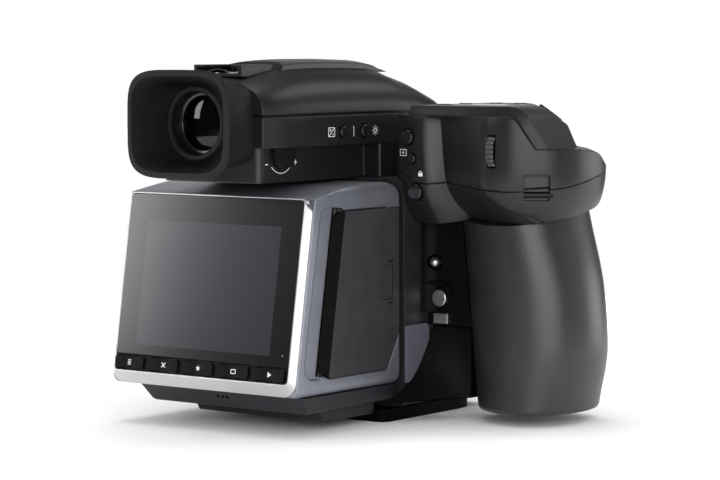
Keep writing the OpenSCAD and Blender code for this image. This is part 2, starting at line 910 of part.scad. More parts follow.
module grip_web() {
    color("#1b1c1e")
    difference() {
        union() {
            translate([body_half, web_rear, web_low])
                cube([web_right - body_half, web_fore - web_rear, joint_z - web_low + web_over]);
            web_corner();
            back_release_axis()
                linear_extrude(guard[2])
                    union() {
                        intersection() {
                            difference() {
                                circle(r = guard[1], $fn = 64);
                                circle(r = guard[0], $fn = 64);
                            }
                            square(guard[1]);
                        }
                        translate([body_half - release_x, guard[0]])
                            square([release_x - body_half + joint_lap, guard[1] - guard[0]]);
                    }
        }
        difference() {
            translate([-far / 2, -far / 2, 0]) cube(far);
            under_joint(0);
        }
        grip_form(gap);
        back_release_axis() button_room(back_release_r, button_sunk);
        catch_axis() button_room(catch_room_r - gap, catch_sunk);
        lock_block_form(gap / 2, press + press_spare);
    }
}

module back_release_button() {
    color("silver")
    back_release_axis() push_button(back_release_r, focus_proud, button_sunk);
}

module safety_catch() {
    color("silver")
    catch_axis() {
        cylinder(r = stem_r, h = catch_neck, center = true, $fn = 32);
        translate([0, 0, -catch_sunk - stem_l]) cylinder(r = stem_r, h = stem_l, $fn = 32);
        translate([0, 0, catch_sunk]) sphere(r = catch_r, $fn = 40);
    }
}

module battery_lock_button() {
    color("silver")
    lock_block_form(0, 0);
}

skirt_x = body_half + 1.2;
skirt_right = body_half + 16.5;
skirt_fore = -3;
skirt_rear_right = -9;
skirt_steps = 8;
skirt_bend = 1.5;
skirt_boss_h = 18;
// Heights of the skirt's sections, and where each one ends at the rear
skirt_rear = [[7.4, -38.6], [8.4, -37.4], [14.8, -24.7], [21.6, -18.5], [28.5, -13.8], [33.3, -11.2]];

module grip_skirt() {
    color("#232427")
    difference() {
        union() {
            loft([for (s = smooth(skirt_rear, 2)) concat(
                [for (i = [0:skirt_steps]) let (t = i / skirt_steps)
                    [skirt_x + (skirt_right - skirt_x) * t,
                        skirt_rear_right + (s[1] - skirt_rear_right) * pow(1 - t, skirt_bend), s[0]]],
                [[skirt_right, skirt_fore, s[0]], [skirt_x, skirt_fore, s[0]]]
            )]);
            translate([body_half, seam_y + side_cover_fore + gap, skirt_rear[0][0] + skin])
                cube([skirt_x - body_half + skin, skirt_fore - seam_y - side_cover_fore - gap - skin,
                    skirt_boss_h]);
        }
        grip_form(gap);
    }
}

head_mid = [63, -2];
head_reach = head_right - head_mid[0];
head_back = head_rear + head_mid[1];
head_fore = head_front - head_mid[1];
head_n = 2.6;
head_sides = 48;
head_left = body_half - 2.5;
// Heights from the deck, and how far each section of the head lies inside its widest outline
head_inset = [
    [-52.6, 14], [-44.6, 9], [-39.6, 5.2], [-34.6, 2], [-28.6, 0.5],
    [-22.6, 0], [-10, 0.2], [-4, 0.7], [0, 2.2],
    [3, 4.5]
];

// Rear face of the head at x, at a section that lies d inside its widest outline
function head_rear_in(x, d) =
    let (out = min(1, abs(x - head_mid[0]) / (head_reach - d)))
    head_mid[1] - (head_back - d) * pow(1 - pow(out, head_n), 1 / head_n);
function head_rear_y(x) = head_rear_in(x, 0);

module head_form(inside) {
    loft([for (s = smooth(head_inset, 2)) let (d = s[1] + inside)
        oval(head_mid, head_reach - d, head_reach - d, head_back - d, head_fore - d,
            head_n, head_h + s[0], head_sides)]);
}

// Ridge on the rear face: its place and half width as shares of the reach, its height and its rounding
ridge_at = 0.593;
ridge_half = 0.209;
ridge_h = 1.4;
ridge_soft = 0.25;
ridge_sink = 0.15;
ridge_in = 2;
ridge_steps = 12;
function ridge_share(x, d) =
    let (u = min(1, abs((x - head_mid[0]) / (head_reach - d) - ridge_at) / ridge_half))
    (norm([1, ridge_soft]) - norm([u, ridge_soft])) / (norm([1, ridge_soft]) - ridge_soft);
// The ridge runs out downwards, between these heights from the deck
ridge_fade = [[-36, 0], [-28, 1]];
function head_rear_ridged(x, d, up) =
    head_rear_in(x, d) - ridge_h * ridge_share(x, d) * lookup(up, ridge_fade);
function ridge_x(i, d) =
    head_mid[0] + (head_reach - d) * (ridge_at + ridge_half * (2 * i / ridge_steps - 1));

module head_ridge() {
    loft([for (s = smooth(head_inset, 2)) let (d = s[1], z = head_h + s[0])
        concat(
            [for (i = [0:ridge_steps]) let (x = ridge_x(i, d)) [x, head_rear_ridged(x, d, s[0]) + ridge_sink, z]],
            [for (i = [ridge_steps:-1:0]) let (x = ridge_x(i, d)) [x, head_rear_in(x, d) + ridge_in, z]]
        )]);
}

module head_body() {
    union() {
        head_form(0);
        head_ridge();
    }
}

parting_at = [80, -30, head_h - 29.7];
parting_rise = 0.2;
parting_fall = 0.07;
parting_groove = 0.3;
step_x = [body_half + 1, body_half + 5];
step_z = head_h - 24.1;
step_up = 2;

module lower_zone(drop) {
    translate(parting_at - [0, 0, drop])
        rotate([atan(parting_rise), atan(parting_fall), 0])
            translate([-far / 2, -far / 2, -far])
                cube(far);
    facing_rear(joint_y)
        linear_extrude(far / 4)
            polygon([
                [0, 0], [step_x[1], 0], [step_x[1], parting_at[2] + step_up - drop],
                [step_x[0], step_z - drop], [0, step_z - drop]
            ]);
}

deck_turn = 5;
deck_edge = 89;
deck_foot = 98;
deck_r = 9;
shelf_drop = 15;
shelf_h = head_h - shelf_drop;
deck_angle = atan((head_h - shelf_h) / (deck_foot - deck_edge));
brow_turn = 36.9;
brow_edge = 66.5;
brow_fall = [9.3, 7];
brow_foot = 79;
brow_angle = atan(brow_fall[1] / brow_fall[0]);
brow_r = 9;
brow_foot_r = 2;
shelf_end = [[86.5, -1.5], [91.5, -9]];
shelf_r = 5;

// Prism under a profile of [distance, height] along a level direction
module under_profile(turn, pts) {
    rotate([0, 0, turn])
        facing_rear(far / 2)
            linear_extrude(far)
                polygon(soft(concat([[-far / 2, 0, 0]], [[pts[0][0], 0, 0]], pts)));
}

// Crown of the head under its deck, the slope at its right and the brow at its front, shrunk by drop
module crown(drop) {
    intersection() {
        under_profile(deck_turn, [
            [deck_foot - drop / sin(deck_angle), shelf_h, 0],
            [deck_edge - drop * tan(deck_angle / 2), head_h - drop, deck_r - drop], [-far / 2, head_h - drop, 0]
        ]);
        under_profile(brow_turn, [
            [brow_foot - drop, shelf_h, 0],
            [brow_edge + brow_fall[0] - drop * sin(brow_angle), head_h - brow_fall[1] - drop * cos(brow_angle),
                brow_foot_r],
            [brow_edge - drop * tan(brow_angle / 2), head_h - drop, brow_r], [-far / 2, head_h - drop, 0]
        ]);
    }
}

// Shoulder of the head below the crown, rounded off at the right
module shoulder() {
    under_profile(brow_turn, [
        [shelf_end[1][0], shelf_h + shelf_end[1][1], 0], [shelf_end[0][0], shelf_h + shelf_end[0][1], shelf_r],
        [brow_foot, shelf_h, 0], [-far / 2, shelf_h, 0]
    ]);
}

// Puts z out of the middle of the brow, at across from its centre line
module on_brow(across) {
    rotate([0, 0, brow_turn])
        translate([brow_edge + brow_fall[0] / 2, across, head_h - brow_fall[1] / 2])
            rotate([0, brow_angle, 0])
                children();
}

// Rows of the thumb hollow: height from the deck, left end, right end and share of the full depth
thumb_rows = [
    [-62, 53, 97, 2.2], [-42, 53, 96, 1.8], [-36.5, 53, 88.5, 1.5], [-32.5, 53, 82.5, 1.25],
    [-28.5, 52.8, 79.2, 1.1], [-22, 52, 78.8, 1.04], [-14, 51, 79, 1], [-9, 50.5, 79.2, 0.97],
    [-6, 50.2, 79.3, 0.9], [-4.6, 50, 79.4, 0.7], [-3.8, 50, 79.4, 0.25], [-3.4, 50, 79.4, 0]
];
thumb_steps = 16;
thumb_lift = 0.3;
// Where the scoop's short left slope meets its long right slope, and how each of them bends
thumb_crease = 0.25;
thumb_bends = [1.6, 1.1];
function thumb_share(t) = t < thumb_crease
    ? pow(t / thumb_crease, thumb_bends[0])
    : pow((1 - t) / (1 - thumb_crease), thumb_bends[1]);

// Scoop whose edges run out softly into the rear face
module thumb_hollow() {
    sections = smooth(head_inset, 2);
    loft([for (row = smooth(thumb_rows, 2)) let (d = lookup(row[0], sections), z = head_h + row[0])
        concat(
            [for (i = [thumb_steps:-1:0]) let (t = i / thumb_steps, x = row[1] + (row[2] - row[1]) * t)
                [x, head_rear_ridged(x, d, row[0]) - thumb_lift + row[3] * thumb_deep * thumb_share(t), z]],
            [[row[1], -far / 4, z], [row[2], -far / 4, z]]
        )]);
}

lug_at = [97, -23.4, head_h - 28.6];
lug_turn = -53;
lug_size = [4, 9.2, 9];
lug_bar_r = 1.1;
lug_bar_drop = 2.4;
lug_bar_in = 2.8;
lug_bar_end = 1.2;

module lug_frame() { translate(lug_at) rotate([0, 0, lug_turn]) children(); }

module lug_room() {
    lug_frame()
        translate([-lug_size[0], -lug_size[1] / 2, -lug_size[2] / 2])
            cube([far / 10, lug_size[1], lug_size[2]]);
}

module lug_bar(grow) {
    lug_frame()
        translate([-lug_bar_in, 0, -lug_bar_drop])
            rotate([90, 0, 0])
                cylinder(r = lug_bar_r + grow, h = lug_size[1] + 2 * lug_bar_end, center = true, $fn = 32);
}

left_lug = [4, 8, 6];
left_lug_at = [-6, deck_h - 9];
left_eye_r = 1.54;

module strap_lugs() {
    color("silver") {
        lug_bar(0);
        difference() {
            translate([-body_half - left_lug[0], left_lug_at[0], left_lug_at[1]]) cube(left_lug);
            translate([-body_half - left_lug[0] / 2, left_lug_at[0] + left_lug[1] / 2, 0])
                cylinder(r = left_eye_r, h = far, $fn = 32);
        }
    }
}

wheel_proud = 1.7;
rear_wheel_x = 81.6;
rear_wheel_at = [rear_wheel_x, head_rear_y(rear_wheel_x) + wheel_r - wheel_proud, head_h - 15.9];
front_wheel_in = 1;
front_wheel_at = [84, head_front - front_wheel_in - wheel_r + wheel_proud, head_h - 28.6];
focus_at = [45.7, head_h - 11.4];
focus_point_at = [47.5, head_h - 19];
lock_at = [48.9, head_h - 31.1];
focus_r = 2.6;
focus_point_r = 1.7;
exposure_r = 2.9;
exposure_inset = 1;
shutter_across = -31;

module rear_wheel_axis() { translate(rear_wheel_at) rotate([0, 90, 0]) children(); }
module front_wheel_axis() { translate(front_wheel_at) children(); }
module rear_face_axis(at, inset) {
    translate([at[0], head_rear_y(at[0]) + inset, at[1]]) rotate([90, 0, 0]) children();
}

module grip_lower_shell() {
    color("#232427")
    difference() {
        intersection() {
            head_body();
            lower_zone(parting_groove);
        }
        under_joint(0);
        translate([-far + head_left, -far / 2, 0]) cube(far);
        translate([-far + body_half, -far / 2, deck_h - far]) cube(far);
        thumb_hollow();
        lug_room();
        lug_bar(pin_fit);
        front_wheel_axis() wheel_room(wheel_r, wheel_w);
        rear_face_axis(lock_at, exposure_inset) button_room(exposure_r, button_sunk);
    }
}

module grip_upper_shell() {
    color("#232427")
    difference() {
        intersection() {
            head_body();
            union() {
                crown(panel_t);
                shoulder();
            }
        }
        lower_zone(0);
        translate([-far + head_left, -far / 2, 0]) cube(far);
        thumb_hollow();
        lug_room();
        rear_wheel_axis() wheel_room(wheel_r, wheel_w);
        rear_face_axis(focus_at, 0) button_room(focus_r, button_sunk);
        rear_face_axis(focus_point_at, 0) button_room(focus_point_r, button_sunk);
        on_brow(shutter_across) button_room(shutter_r, button_sunk);
        for (i = [0:3]) panel_button_axis(i) button_room(panel_button_r, panel_sunk);
    }
}

panel_left = body_half + 2.5;
panel_inset = 0.5;
display_at = [63.4, -4];
display_size = [22, 20];
display_t = 1.2;
display_fit = 0.1;
display_r = 2;
panel_button_r = 2.6;
panel_proud = 0.3;
panel_sunk = 2;
panel_buttons = [[48.9, -12], [48.9, 2], [54, 14.5], [64, 15.5]];

module panel_button_axis(i) { translate([panel_buttons[i][0], panel_buttons[i][1], head_h]) children(); }

module display_plan(grow) {
    translate([display_at[0], display_at[1]])
        polygon(soft_box(-display_size[0] / 2 - grow, display_size[0] / 2 + grow,
            -display_size[1] / 2 - grow, display_size[1] / 2 + grow, display_r));
}

module top_panel() {
    color("#17181a")
    difference() {
        intersection() {
            head_form(panel_inset);
            crown(0);
            translate([panel_left, -far / 2, shelf_h]) cube(far);
        }
        crown(panel_t);
        translate([0, 0, head_h - display_t]) linear_extrude(far) display_plan(display_fit);
        on_brow(shutter_across) button_room(shutter_r, button_sunk);
        for (i = [0:3]) panel_button_axis(i) button_room(panel_button_r, panel_sunk);
    }
}

module status_display() {
    color("#3c4440")
    translate([0, 0, head_h - display_t]) linear_extrude(display_t) display_plan(0);
}

module shutter_button() {
    color("#303134")
    on_brow(shutter_across) push_button(shutter_r, shutter_proud, button_sunk);
}

module front_wheel() {
    color("#1d1e20")
    front_wheel_axis() ribbed_wheel(wheel_r, wheel_w, wheel_ribs);
}

module rear_wheel() {
    color("#1d1e20")
    rear_wheel_axis() ribbed_wheel(wheel_r, wheel_w, wheel_ribs);
}

module panel_button(i) {
    color("#2d2e31")
    panel_button_axis(i) push_button(panel_button_r, panel_proud, panel_sunk);
}

module power_button() { panel_button(3); }
module menu_button() { panel_button(0); }
module drive_button() { panel_button(1); }
module iso_button() { panel_button(2); }

module focus_button() {
    color("#2d2e31")
    rear_face_axis(focus_at, 0) push_button(focus_r, focus_proud, button_sunk);
}

module focus_point_button() {
    color("#2d2e31")
    rear_face_axis(focus_point_at, 0) push_button(focus_point_r, small_proud, button_sunk);
}

module exposure_lock_button() {
    color("#2d2e31")
    rear_face_axis(lock_at, exposure_inset) push_button(exposure_r, focus_proud, button_sunk);
}

// Finder

eye_y = screen_y + 1.8;
band_z0 = deck_h + band_low;
band_z1 = deck_h + band_high;
hood_z = band_z1 + 0.8;
neck_in = 2;
lower_rounds = [3, 2, 1, 4];
lower_half = 22.3;
lower_front_half = 26.6;
waist_half = 19;
lower_front = 24;
lower_corner_y = -26;
front_block_y = -21;
// Stations along the finder: how far forward, the band's shortfall in half width, and the hood's rise
hood_stations = [
    [eye_y, 3, 12], [-80, 1, 13.3], [-66, 0.4, 16.1], [-45, 0, 17.3], [-13, 0, 16.8], [-4.4, 0.4, 14.8],
    [5.7, 1.2, 12.2], [17.4, 3.6, 7.8], [24, 6, 5.3], [29.5, 9.5, 2.8], [33, 14.5, 0.7]
];
hood_front = hood_stations[len(hood_stations) - 1][0];
hood_n = 2.5;
hood_sides = 28;

function within_hood(y, inside) = max(eye_y + inside, min(hood_front - inside, y));
function band_outline(inside) = let (s = smooth(hood_stations, 2)) concat(
    [for (p = s) [band_half - p[1] - inside, within_hood(p[0], inside)]],
    [for (i = [len(s) - 1:-1:0]) [s[i][1] + inside - band_half, within_hood(s[i][0], inside)]]
);

module hood_form(raise) {
    loft([for (p = smooth(hood_stations, 2))
        [for (i = [0:hood_sides]) let (q = oval_point(180 - 180 * i / hood_sides, hood_n))
            [q[0] * (band_half - p[1]), p[0], hood_z + q[1] * (p[2] + raise)]]]);
}

eye_bore_r = 9;
prism_half = 15;
prism_fit = 0.3;
prism_foot = deck_h + 2;
prism_y = [-20, 20];
prism_ledge = 2;
prism_nose = [14, 8];
prism_top = hood_z + 3;

module prism_form(grow) {
    facing_right(-prism_half - grow)
        linear_extrude(2 * (prism_half + grow))
            polygon([
                [prism_y[0] - grow, prism_foot], [prism_y[1] + grow, prism_foot],
                [prism_y[1] + grow, prism_foot + prism_nose[1]],
                [prism_y[1] - prism_nose[0] + grow, prism_top + grow], [prism_y[0] - grow, prism_top + grow]
            ]);
}

module eye_bore() {
    translate([0, prism_y[0] + skin, eye_h])
        rotate([90, 0, 0])
            cylinder(r = eye_bore_r, h = far, $fn = 64);
}

dial_at = [eye_y + 12.3, deck_h + 10.5];
dial_w = 2;
dial_gap = 0.3;
dial_x = lower_half + dial_gap;
dial_pin_r = 1.5;
dial_pin_l = 4;
band_buttons = [[-44, 1.9], [-31, 2.4]];
band_sunk = 1.5;
band_button_drop = 0.6;
band_button_z = (band_z0 + band_z1) / 2 - band_button_drop;

module dial_axis() { translate([dial_x, dial_at[0], dial_at[1]]) rotate([0, 90, 0]) children(); }
module band_button_axis(i) {
    translate([band_half, band_buttons[i][0], band_button_z]) rotate([0, 90, 0]) children();
}

module finder_base() {
    color("#1e1f21")
    difference() {
        union() {
            translate([0, 0, deck_h])
                linear_extrude(band_low + skin)
                    polygon(soft([
                        [-lower_half, eye_y, lower_rounds[0]], [lower_half, eye_y, lower_rounds[0]],
                        [lower_half, lower_corner_y, lower_rounds[1]], [waist_half, lower_corner_y, 0],
                        [waist_half, front_block_y, 0], [lower_front_half, front_block_y, lower_rounds[2]],
                        [lower_front_half, lower_front, lower_rounds[3]],
                        [-lower_front_half, lower_front, lower_rounds[3]],
                        [-lower_front_half, front_block_y, lower_rounds[2]], [-waist_half, front_block_y, 0],
                        [-waist_half, lower_corner_y, 0], [-lower_half, lower_corner_y, lower_rounds[1]]
                    ]));
            translate([0, 0, band_z0]) linear_extrude(band_z1 - band_z0) polygon(band_outline(0));
            translate([0, 0, band_z0]) linear_extrude(hood_z - band_z0) polygon(band_outline(neck_in));
        }
        prism_form(prism_fit);
        translate([-prism_half + prism_ledge, prism_y[0] + prism_ledge, 0])
            cube([2 * (prism_half - prism_ledge), prism_y[1] - prism_y[0] - 2 * prism_ledge,
                deck_h + band_low]);
        eye_bore();
        dial_axis() cylinder(r = dial_r + gap, h = dial_w + gap, $fn = 64);
        dial_axis()
            translate([0, 0, -dial_pin_l - gap])
                cylinder(r = dial_pin_r + pin_fit, h = far / 10, $fn = 32);
        for (i = [0:1]) band_button_axis(i) button_room(band_buttons[i][1], band_sunk);
    }
}

shoe_out = 10.9;
shoe_y = [-82, -64];
shoe_z = hood_z + 13.2;
shoe_base_t = 1.2;
shoe_under = 2.1;
shoe_lip = 1;
shoe_mouth = 12.6;

flash_front = 20;
flash_z = hood_z + 14.2;
flash_raise = 2;
flash_hinge_y = -57.4;
flash_hinge_drop = 0.4;
flash_hinge_z = flash_z - flash_hinge_drop;
flash_barrel_r = 4.9;
flash_pin_r = 0.8;
flash_pin_reach = 2;
lamp_half = 11;
lamp_y = [-26, -8];
lamp_z = hood_z + 7;
lamp_room = 1.6;
window_t = 0.6;
window_half = 9;
window_in = 0.8;

module flash_hinge() { translate([0, flash_hinge_y, flash_hinge_z]) rotate([0, 90, 0]) children(); }

module finder_hood() {
    color("#1e1f21")
    difference() {
        hood_form(0);
        prism_form(prism_fit);
        eye_bore();
        translate([-shoe_out - gap, shoe_y[0] - gap, shoe_z])
            cube([2 * (shoe_out + gap), shoe_y[1] - shoe_y[0] + 2 * gap, far]);
        translate([-flash_half - gap, flash_hinge_y, flash_z]) cube([2 * (flash_half + gap), far, far]);
        flash_hinge() cylinder(r = flash_barrel_r + gap, h = 2 * (flash_half + gap), center = true, $fn = 96);
        translate([-lamp_half - gap, lamp_y[0] - lamp_room, lamp_z - lamp_room])
            cube([2 * (lamp_half + gap), lamp_y[1] - lamp_y[0] + window_t + 2 * lamp_room, far]);
        flash_hinge()
            cylinder(r = flash_pin_r + pin_fit, h = 2 * (flash_half + gap + flash_pin_reach),
                center = true, $fn = 32);
    }
}

module flash_head() {
    color("#1c1d1f") {
        intersection() {
            hood_form(flash_raise);
            union() {
                translate([-flash_half, flash_hinge_y, flash_z])
                    cube([2 * flash_half, flash_front - flash_hinge_y, far]);
                flash_hinge() cylinder(r = flash_barrel_r, h = 2 * flash_half, center = true, $fn = 96);
            }
        }
        translate([-lamp_half, lamp_y[0], lamp_z])
            cube([2 * lamp_half, lamp_y[1] - lamp_y[0], flash_z - lamp_z + skin / 2]);
        flash_hinge()
            cylinder(r = flash_pin_r, h = 2 * (flash_half + flash_pin_reach), center = true, $fn = 32);
    }
}

module flash_window() {
    color("#cfd6d8")
    translate([-window_half, lamp_y[1], lamp_z + window_in])
        cube([2 * window_half, window_t, flash_z - lamp_z - 2 * window_in]);
}

module hot_shoe() {
    color("#3a3b3e")
    translate([0, shoe_y[0], shoe_z])
        difference() {
            translate([-shoe_out, 0, 0])
                cube([2 * shoe_out, shoe_y[1] - shoe_y[0], shoe_base_t + shoe_under + shoe_lip]);
            translate([-shoe_w / 2, -skin, shoe_base_t])
                cube([shoe_w, shoe_y[1] - shoe_y[0] - skin, shoe_under]);
            translate([-shoe_mouth / 2, -skin, shoe_base_t]) cube([shoe_mouth, far, far]);
        }
}

module roof_prism() {
    color("#b9c6cc")
    prism_form(0);
}

// Stations along the eyecup: share of its length, half width, middle above the eyepiece and half height
eyecup_outer = [
    [0, 20.3, -0.4, 15], [0.25, 20.8, -0.4, 15.3], [0.6, 21.6, -0.3, 16.6], [0.86, 22.9, -0.2, 18.4],
    [0.96, 23.4, -0.2, 19.1], [1, 22.8, -0.2, 18.5]
];
eyecup_inner = [
    [0.42, 13.4, 0, 13.4], [0.62, 15.2, 0, 13.9], [0.82, 18, -0.2, 14.6], [0.94, 20, -0.2, 15.8],
    [1.02, 21.6, -0.2, 17.4]
];
eyecup_seat = eyecup_inner[0][0];
eyecup_n = 4.4;
eyecup_sides = 48;
ring_out_r = 13.3;
ring_l = 7;
ring_wall = 1.5;
lens_seat_l = 1;
lens_l = 2.2;
lens_crown = 1.6;

// Ring of a piece that runs rearwards from eye_y, its height measured rearwards
function eye_ring(s, n) = oval([0, eye_h + s[2]], s[1], s[1], s[3], s[3], n, s[0] * eyecup_l, eyecup_sides);
function funnel_n(share) = 2 + (eyecup_n - 2) * (share - eyecup_seat) / (1 - eyecup_seat);

module rearwards() { translate([0, eye_y, 0]) rotate([90, 0, 0]) children(); }

module eyecup() {
    color("#18191a")
    rearwards()
        difference() {
            loft([for (s = smooth(eyecup_outer, 3)) eye_ring(s, eyecup_n)]);
            loft([for (s = smooth(eyecup_inner, 3)) eye_ring(s, funnel_n(s[0]))]);
            translate([0, eye_h, -skin])
                cylinder(r = ring_out_r + pin_fit, h = eyecup_l * eyecup_seat + 2 * skin, $fn = 96);
        }
}

module eyepiece_ring() {
    color("#232426")
    rearwards()
        translate([0, eye_h, 0])
            difference() {
                cylinder(r = ring_out_r, h = ring_l, $fn = 96);
                translate([0, 0, -skin]) cylinder(r = eye_bore_r, h = far, $fn = 64);
                translate([0, 0, lens_seat_l]) cylinder(r = eye_lens_r + pin_fit, h = far, $fn = 64);
                translate([0, 0, lens_seat_l + lens_l]) cylinder(r = ring_out_r - ring_wall, h = far, $fn = 64);
            }
}

module eyepiece_lens() {
    color("#7e8f98")
    rearwards()
        translate([0, eye_h, lens_seat_l])
            rotate_extrude($fn = 64)
                polygon(concat(
                    [[0, 0], [eye_lens_r, 0]],
                    [for (i = [0:2 * arc_steps]) let (t = 1 - i / (2 * arc_steps))
                        [eye_lens_r * t, lens_l + lens_crown * (1 - t * t)]]
                ));
}

module dioptre_dial() {
    color("#2a2b2d")
    dial_axis() {
        difference() {
            cylinder(r = dial_r, h = dial_w, $fn = 64);
            for (i = [0:wheel_ribs / 2 - 1])
                rotate([0, 0, 720 * i / wheel_ribs])
                    translate([dial_r + rib_r / 3, 0, -skin])
                        cylinder(r = rib_r, h = far / 10, $fn = 24);
        }
        translate([0, 0, -dial_pin_l]) cylinder(r = dial_pin_r, h = dial_pin_l + skin, $fn = 32);
    }
}

module band_button(i) {
    color("#2d2e31")
    band_button_axis(i) push_button(band_buttons[i][1], small_proud, band_sunk);
}

module band_rear_button() { band_button(0); }
module band_front_button() { band_button(1); }

back_housing();
back_lower_cover();
interface_plate();
screen_frame();
screen_glass();
screen_panel();
key_strip();
menu_key();
cross_key();
star_key();
ring_key();
play_key();
card_door();
door_pin();
latch_strip();
card_slots();
image_sensor();
body_chassis();
front_plate();
lens_mount_ring();
lens_lock_pin();
lens_release_button();
reflex_mirror();
focusing_screen();
side_covers();
base_plate();
grip_web();
back_release_button();
safety_catch();
grip_skirt();
strap_lugs();
grip_lower_shell();
grip_upper_shell();
top_panel();
status_display();
shutter_button();
front_wheel();
rear_wheel();
power_button();
menu_button();
drive_button();
iso_button();
focus_button();
focus_point_button();
exposure_lock_button();
battery_grip();
battery_cells();
battery_lock_button();
finder_hood();
finder_base();
eyecup();
eyepiece_ring();
eyepiece_lens();
dioptre_dial();
band_rear_button();
band_front_button();
hot_shoe();
flash_head();
flash_window();
roof_prism();
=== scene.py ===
# %% [markdown]
# # A medium format digital camera, dressed for a studio picture
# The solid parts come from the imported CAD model, in metres, with +Z up and the lens looking along +Y.
# Blender only gives them what a solid model lacks: finishes, soft edges, printed signs and small fittings.

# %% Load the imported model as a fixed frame
import bmesh
import bpy
from math import cos, pi, radians, sin
from mathutils import Matrix, Vector
from mathutils.bvhtree import BVHTree


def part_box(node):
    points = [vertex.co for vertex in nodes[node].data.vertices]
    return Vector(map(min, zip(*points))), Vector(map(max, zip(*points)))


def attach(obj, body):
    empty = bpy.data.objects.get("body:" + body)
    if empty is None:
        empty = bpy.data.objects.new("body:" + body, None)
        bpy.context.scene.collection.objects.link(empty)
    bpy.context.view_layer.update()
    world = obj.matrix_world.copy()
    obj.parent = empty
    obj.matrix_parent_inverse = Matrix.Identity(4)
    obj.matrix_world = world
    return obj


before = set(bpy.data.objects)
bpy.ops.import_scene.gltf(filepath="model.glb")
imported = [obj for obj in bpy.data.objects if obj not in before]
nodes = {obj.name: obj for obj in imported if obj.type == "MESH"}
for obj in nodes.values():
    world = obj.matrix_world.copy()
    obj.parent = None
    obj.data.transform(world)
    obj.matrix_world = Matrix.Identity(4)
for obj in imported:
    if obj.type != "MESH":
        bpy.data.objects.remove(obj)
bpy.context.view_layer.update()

scene = bpy.context.scene

# %% [markdown]
# ## Millimetres
# The drawing of the camera is in millimetres and Blender works in metres, so every length on the object is
# written in millimetres below and turned by one function. The studio round it is set out in metres.
# Places come from the solid pieces wherever they can: most signs and fittings are counted from a piece's box.

# %% Millimetres to metres
MM = 0.001


def mm(x, y, z):
    return Vector((x, y, z)) * MM


def middle(node):
    low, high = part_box(node)
    return (low + high) / 2


print("the middle of the eyecup is at", [round(v / MM, 1) for v in middle("eyecup")], "mm")

# %% [markdown]
# ## The photographer's camera
# The picture was taken from behind the right shoulder of the object, a little above it, from about a metre
# with a long lens. A long lens keeps the far edges of the box nearly parallel, and the eye notices that.

# %% The camera at the picture's angle
VIEW_TURN = 37.0
VIEW_DOWN = 4.2
VIEW_ROLL = 0.1
VIEW_FROM = mm(617.3, -817.1, 137.5)
LENS_MM = 135
FILM_MM = 36

lens = bpy.data.cameras.new("studio_view")
lens.lens = LENS_MM
lens.sensor_width = FILM_MM
studio_view = bpy.data.objects.new("studio_view", lens)
studio_view.location = VIEW_FROM
studio_view.rotation_euler = (radians(90 - VIEW_DOWN), radians(VIEW_ROLL), radians(VIEW_TURN))
scene.collection.objects.link(studio_view)
scene.camera = studio_view
print("camera", LENS_MM, "mm,", VIEW_TURN, "degrees round")

# %% [markdown]
# ## Nodes and colours
# Every finish below is a small tree of nodes. One function adds a node, sets it and links it, so a finish
# reads as a list of what feeds what. Colours are written as on a paint card, in sRGB, and turned to the
# linear light that a renderer adds up. The Standard view then shows them as they are written.

# %% One function for nodes, one for colours


def add(tree, kind, inputs=None, **settings):
    node = tree.nodes.new("ShaderNode" + kind)
    for name, value in settings.items():
        setattr(node, name, value)
    for name, value in (inputs or {}).items():
        if isinstance(value, bpy.types.NodeSocket):
            tree.links.new(value, node.inputs[name])
        else:
            node.inputs[name].default_value = value
    return node


def linear(hexed):
    parts = [int(hexed[i:i + 2], 16) / 255 for i in (1, 3, 5)]
    return [p / 12.92 if p <= 0.04045 else ((p + 0.055) / 1.055) ** 2.4 for p in parts] + [1.0]


scene.view_settings.view_transform = "Standard"
print("a middle grey is", round(linear("#808080")[0], 3), "in linear light")

# %% [markdown]
# ## White backdrop
# The object stands before a white backdrop, in a room that is dim everywhere else. Black plastic and bare
# metal therefore mirror the lamps, the backdrop and little more, which keeps the blacks deep.
# A matt surface gathers light from all round, so what it meets is the pale light of the walls. The lens, and
# whatever it sees through glass, meets plain white. Light Path tells these kinds of ray apart.

# %% A world that is white to the lens
ROOM_LIGHT = 0.04
WALL_LIGHT = 0.86
BACKDROP_LIGHT = 1.0
BACKDROP_FROM = 0.85
BACKDROP_FULL = 0.98
RIGHT = Vector((cos(radians(VIEW_TURN)), sin(radians(VIEW_TURN)), 0))
TOWARDS = Vector((sin(radians(VIEW_TURN)), -cos(radians(VIEW_TURN)), 0))

sky = bpy.data.worlds.new("white_backdrop")
sky.use_nodes = True
sky.cycles.sampling_method = "NONE"
scene.world = sky
tree = sky.node_tree
tree.nodes.clear()
ray = add(tree, "LightPath").outputs
heading = add(tree, "TexCoord").outputs["Generated"]
behind = add(tree, "VectorMath", {0: heading, 1: -TOWARDS}, operation="DOT_PRODUCT")
mirrored = add(tree, "MapRange", {"Value": behind.outputs["Value"], "From Min": BACKDROP_FROM,
                                  "From Max": BACKDROP_FULL, "To Min": ROOM_LIGHT, "To Max": BACKDROP_LIGHT},
               interpolation_type="SMOOTHSTEP")
walls = add(tree, "Math", {0: ray["Is Diffuse Ray"], 1: WALL_LIGHT}, operation="MULTIPLY")
room = add(tree, "Math", {0: mirrored.outputs["Result"], 1: walls.outputs[0]}, operation="MAXIMUM")
looked = add(tree, "Math", {0: ray["Is Camera Ray"], 1: ray["Is Transmission Ray"]}, operation="MAXIMUM")
seen = add(tree, "Math", {0: room.outputs[0], 1: looked.outputs[0]}, operation="MAXIMUM")
back = add(tree, "Background", {"Color": (1, 1, 1, 1), "Strength": seen.outputs[0]})
add(tree, "OutputWorld", {"Surface": back.outputs[0]})
print("backdrop", BACKDROP_LIGHT, "walls", WALL_LIGHT, "room", ROOM_LIGHT)

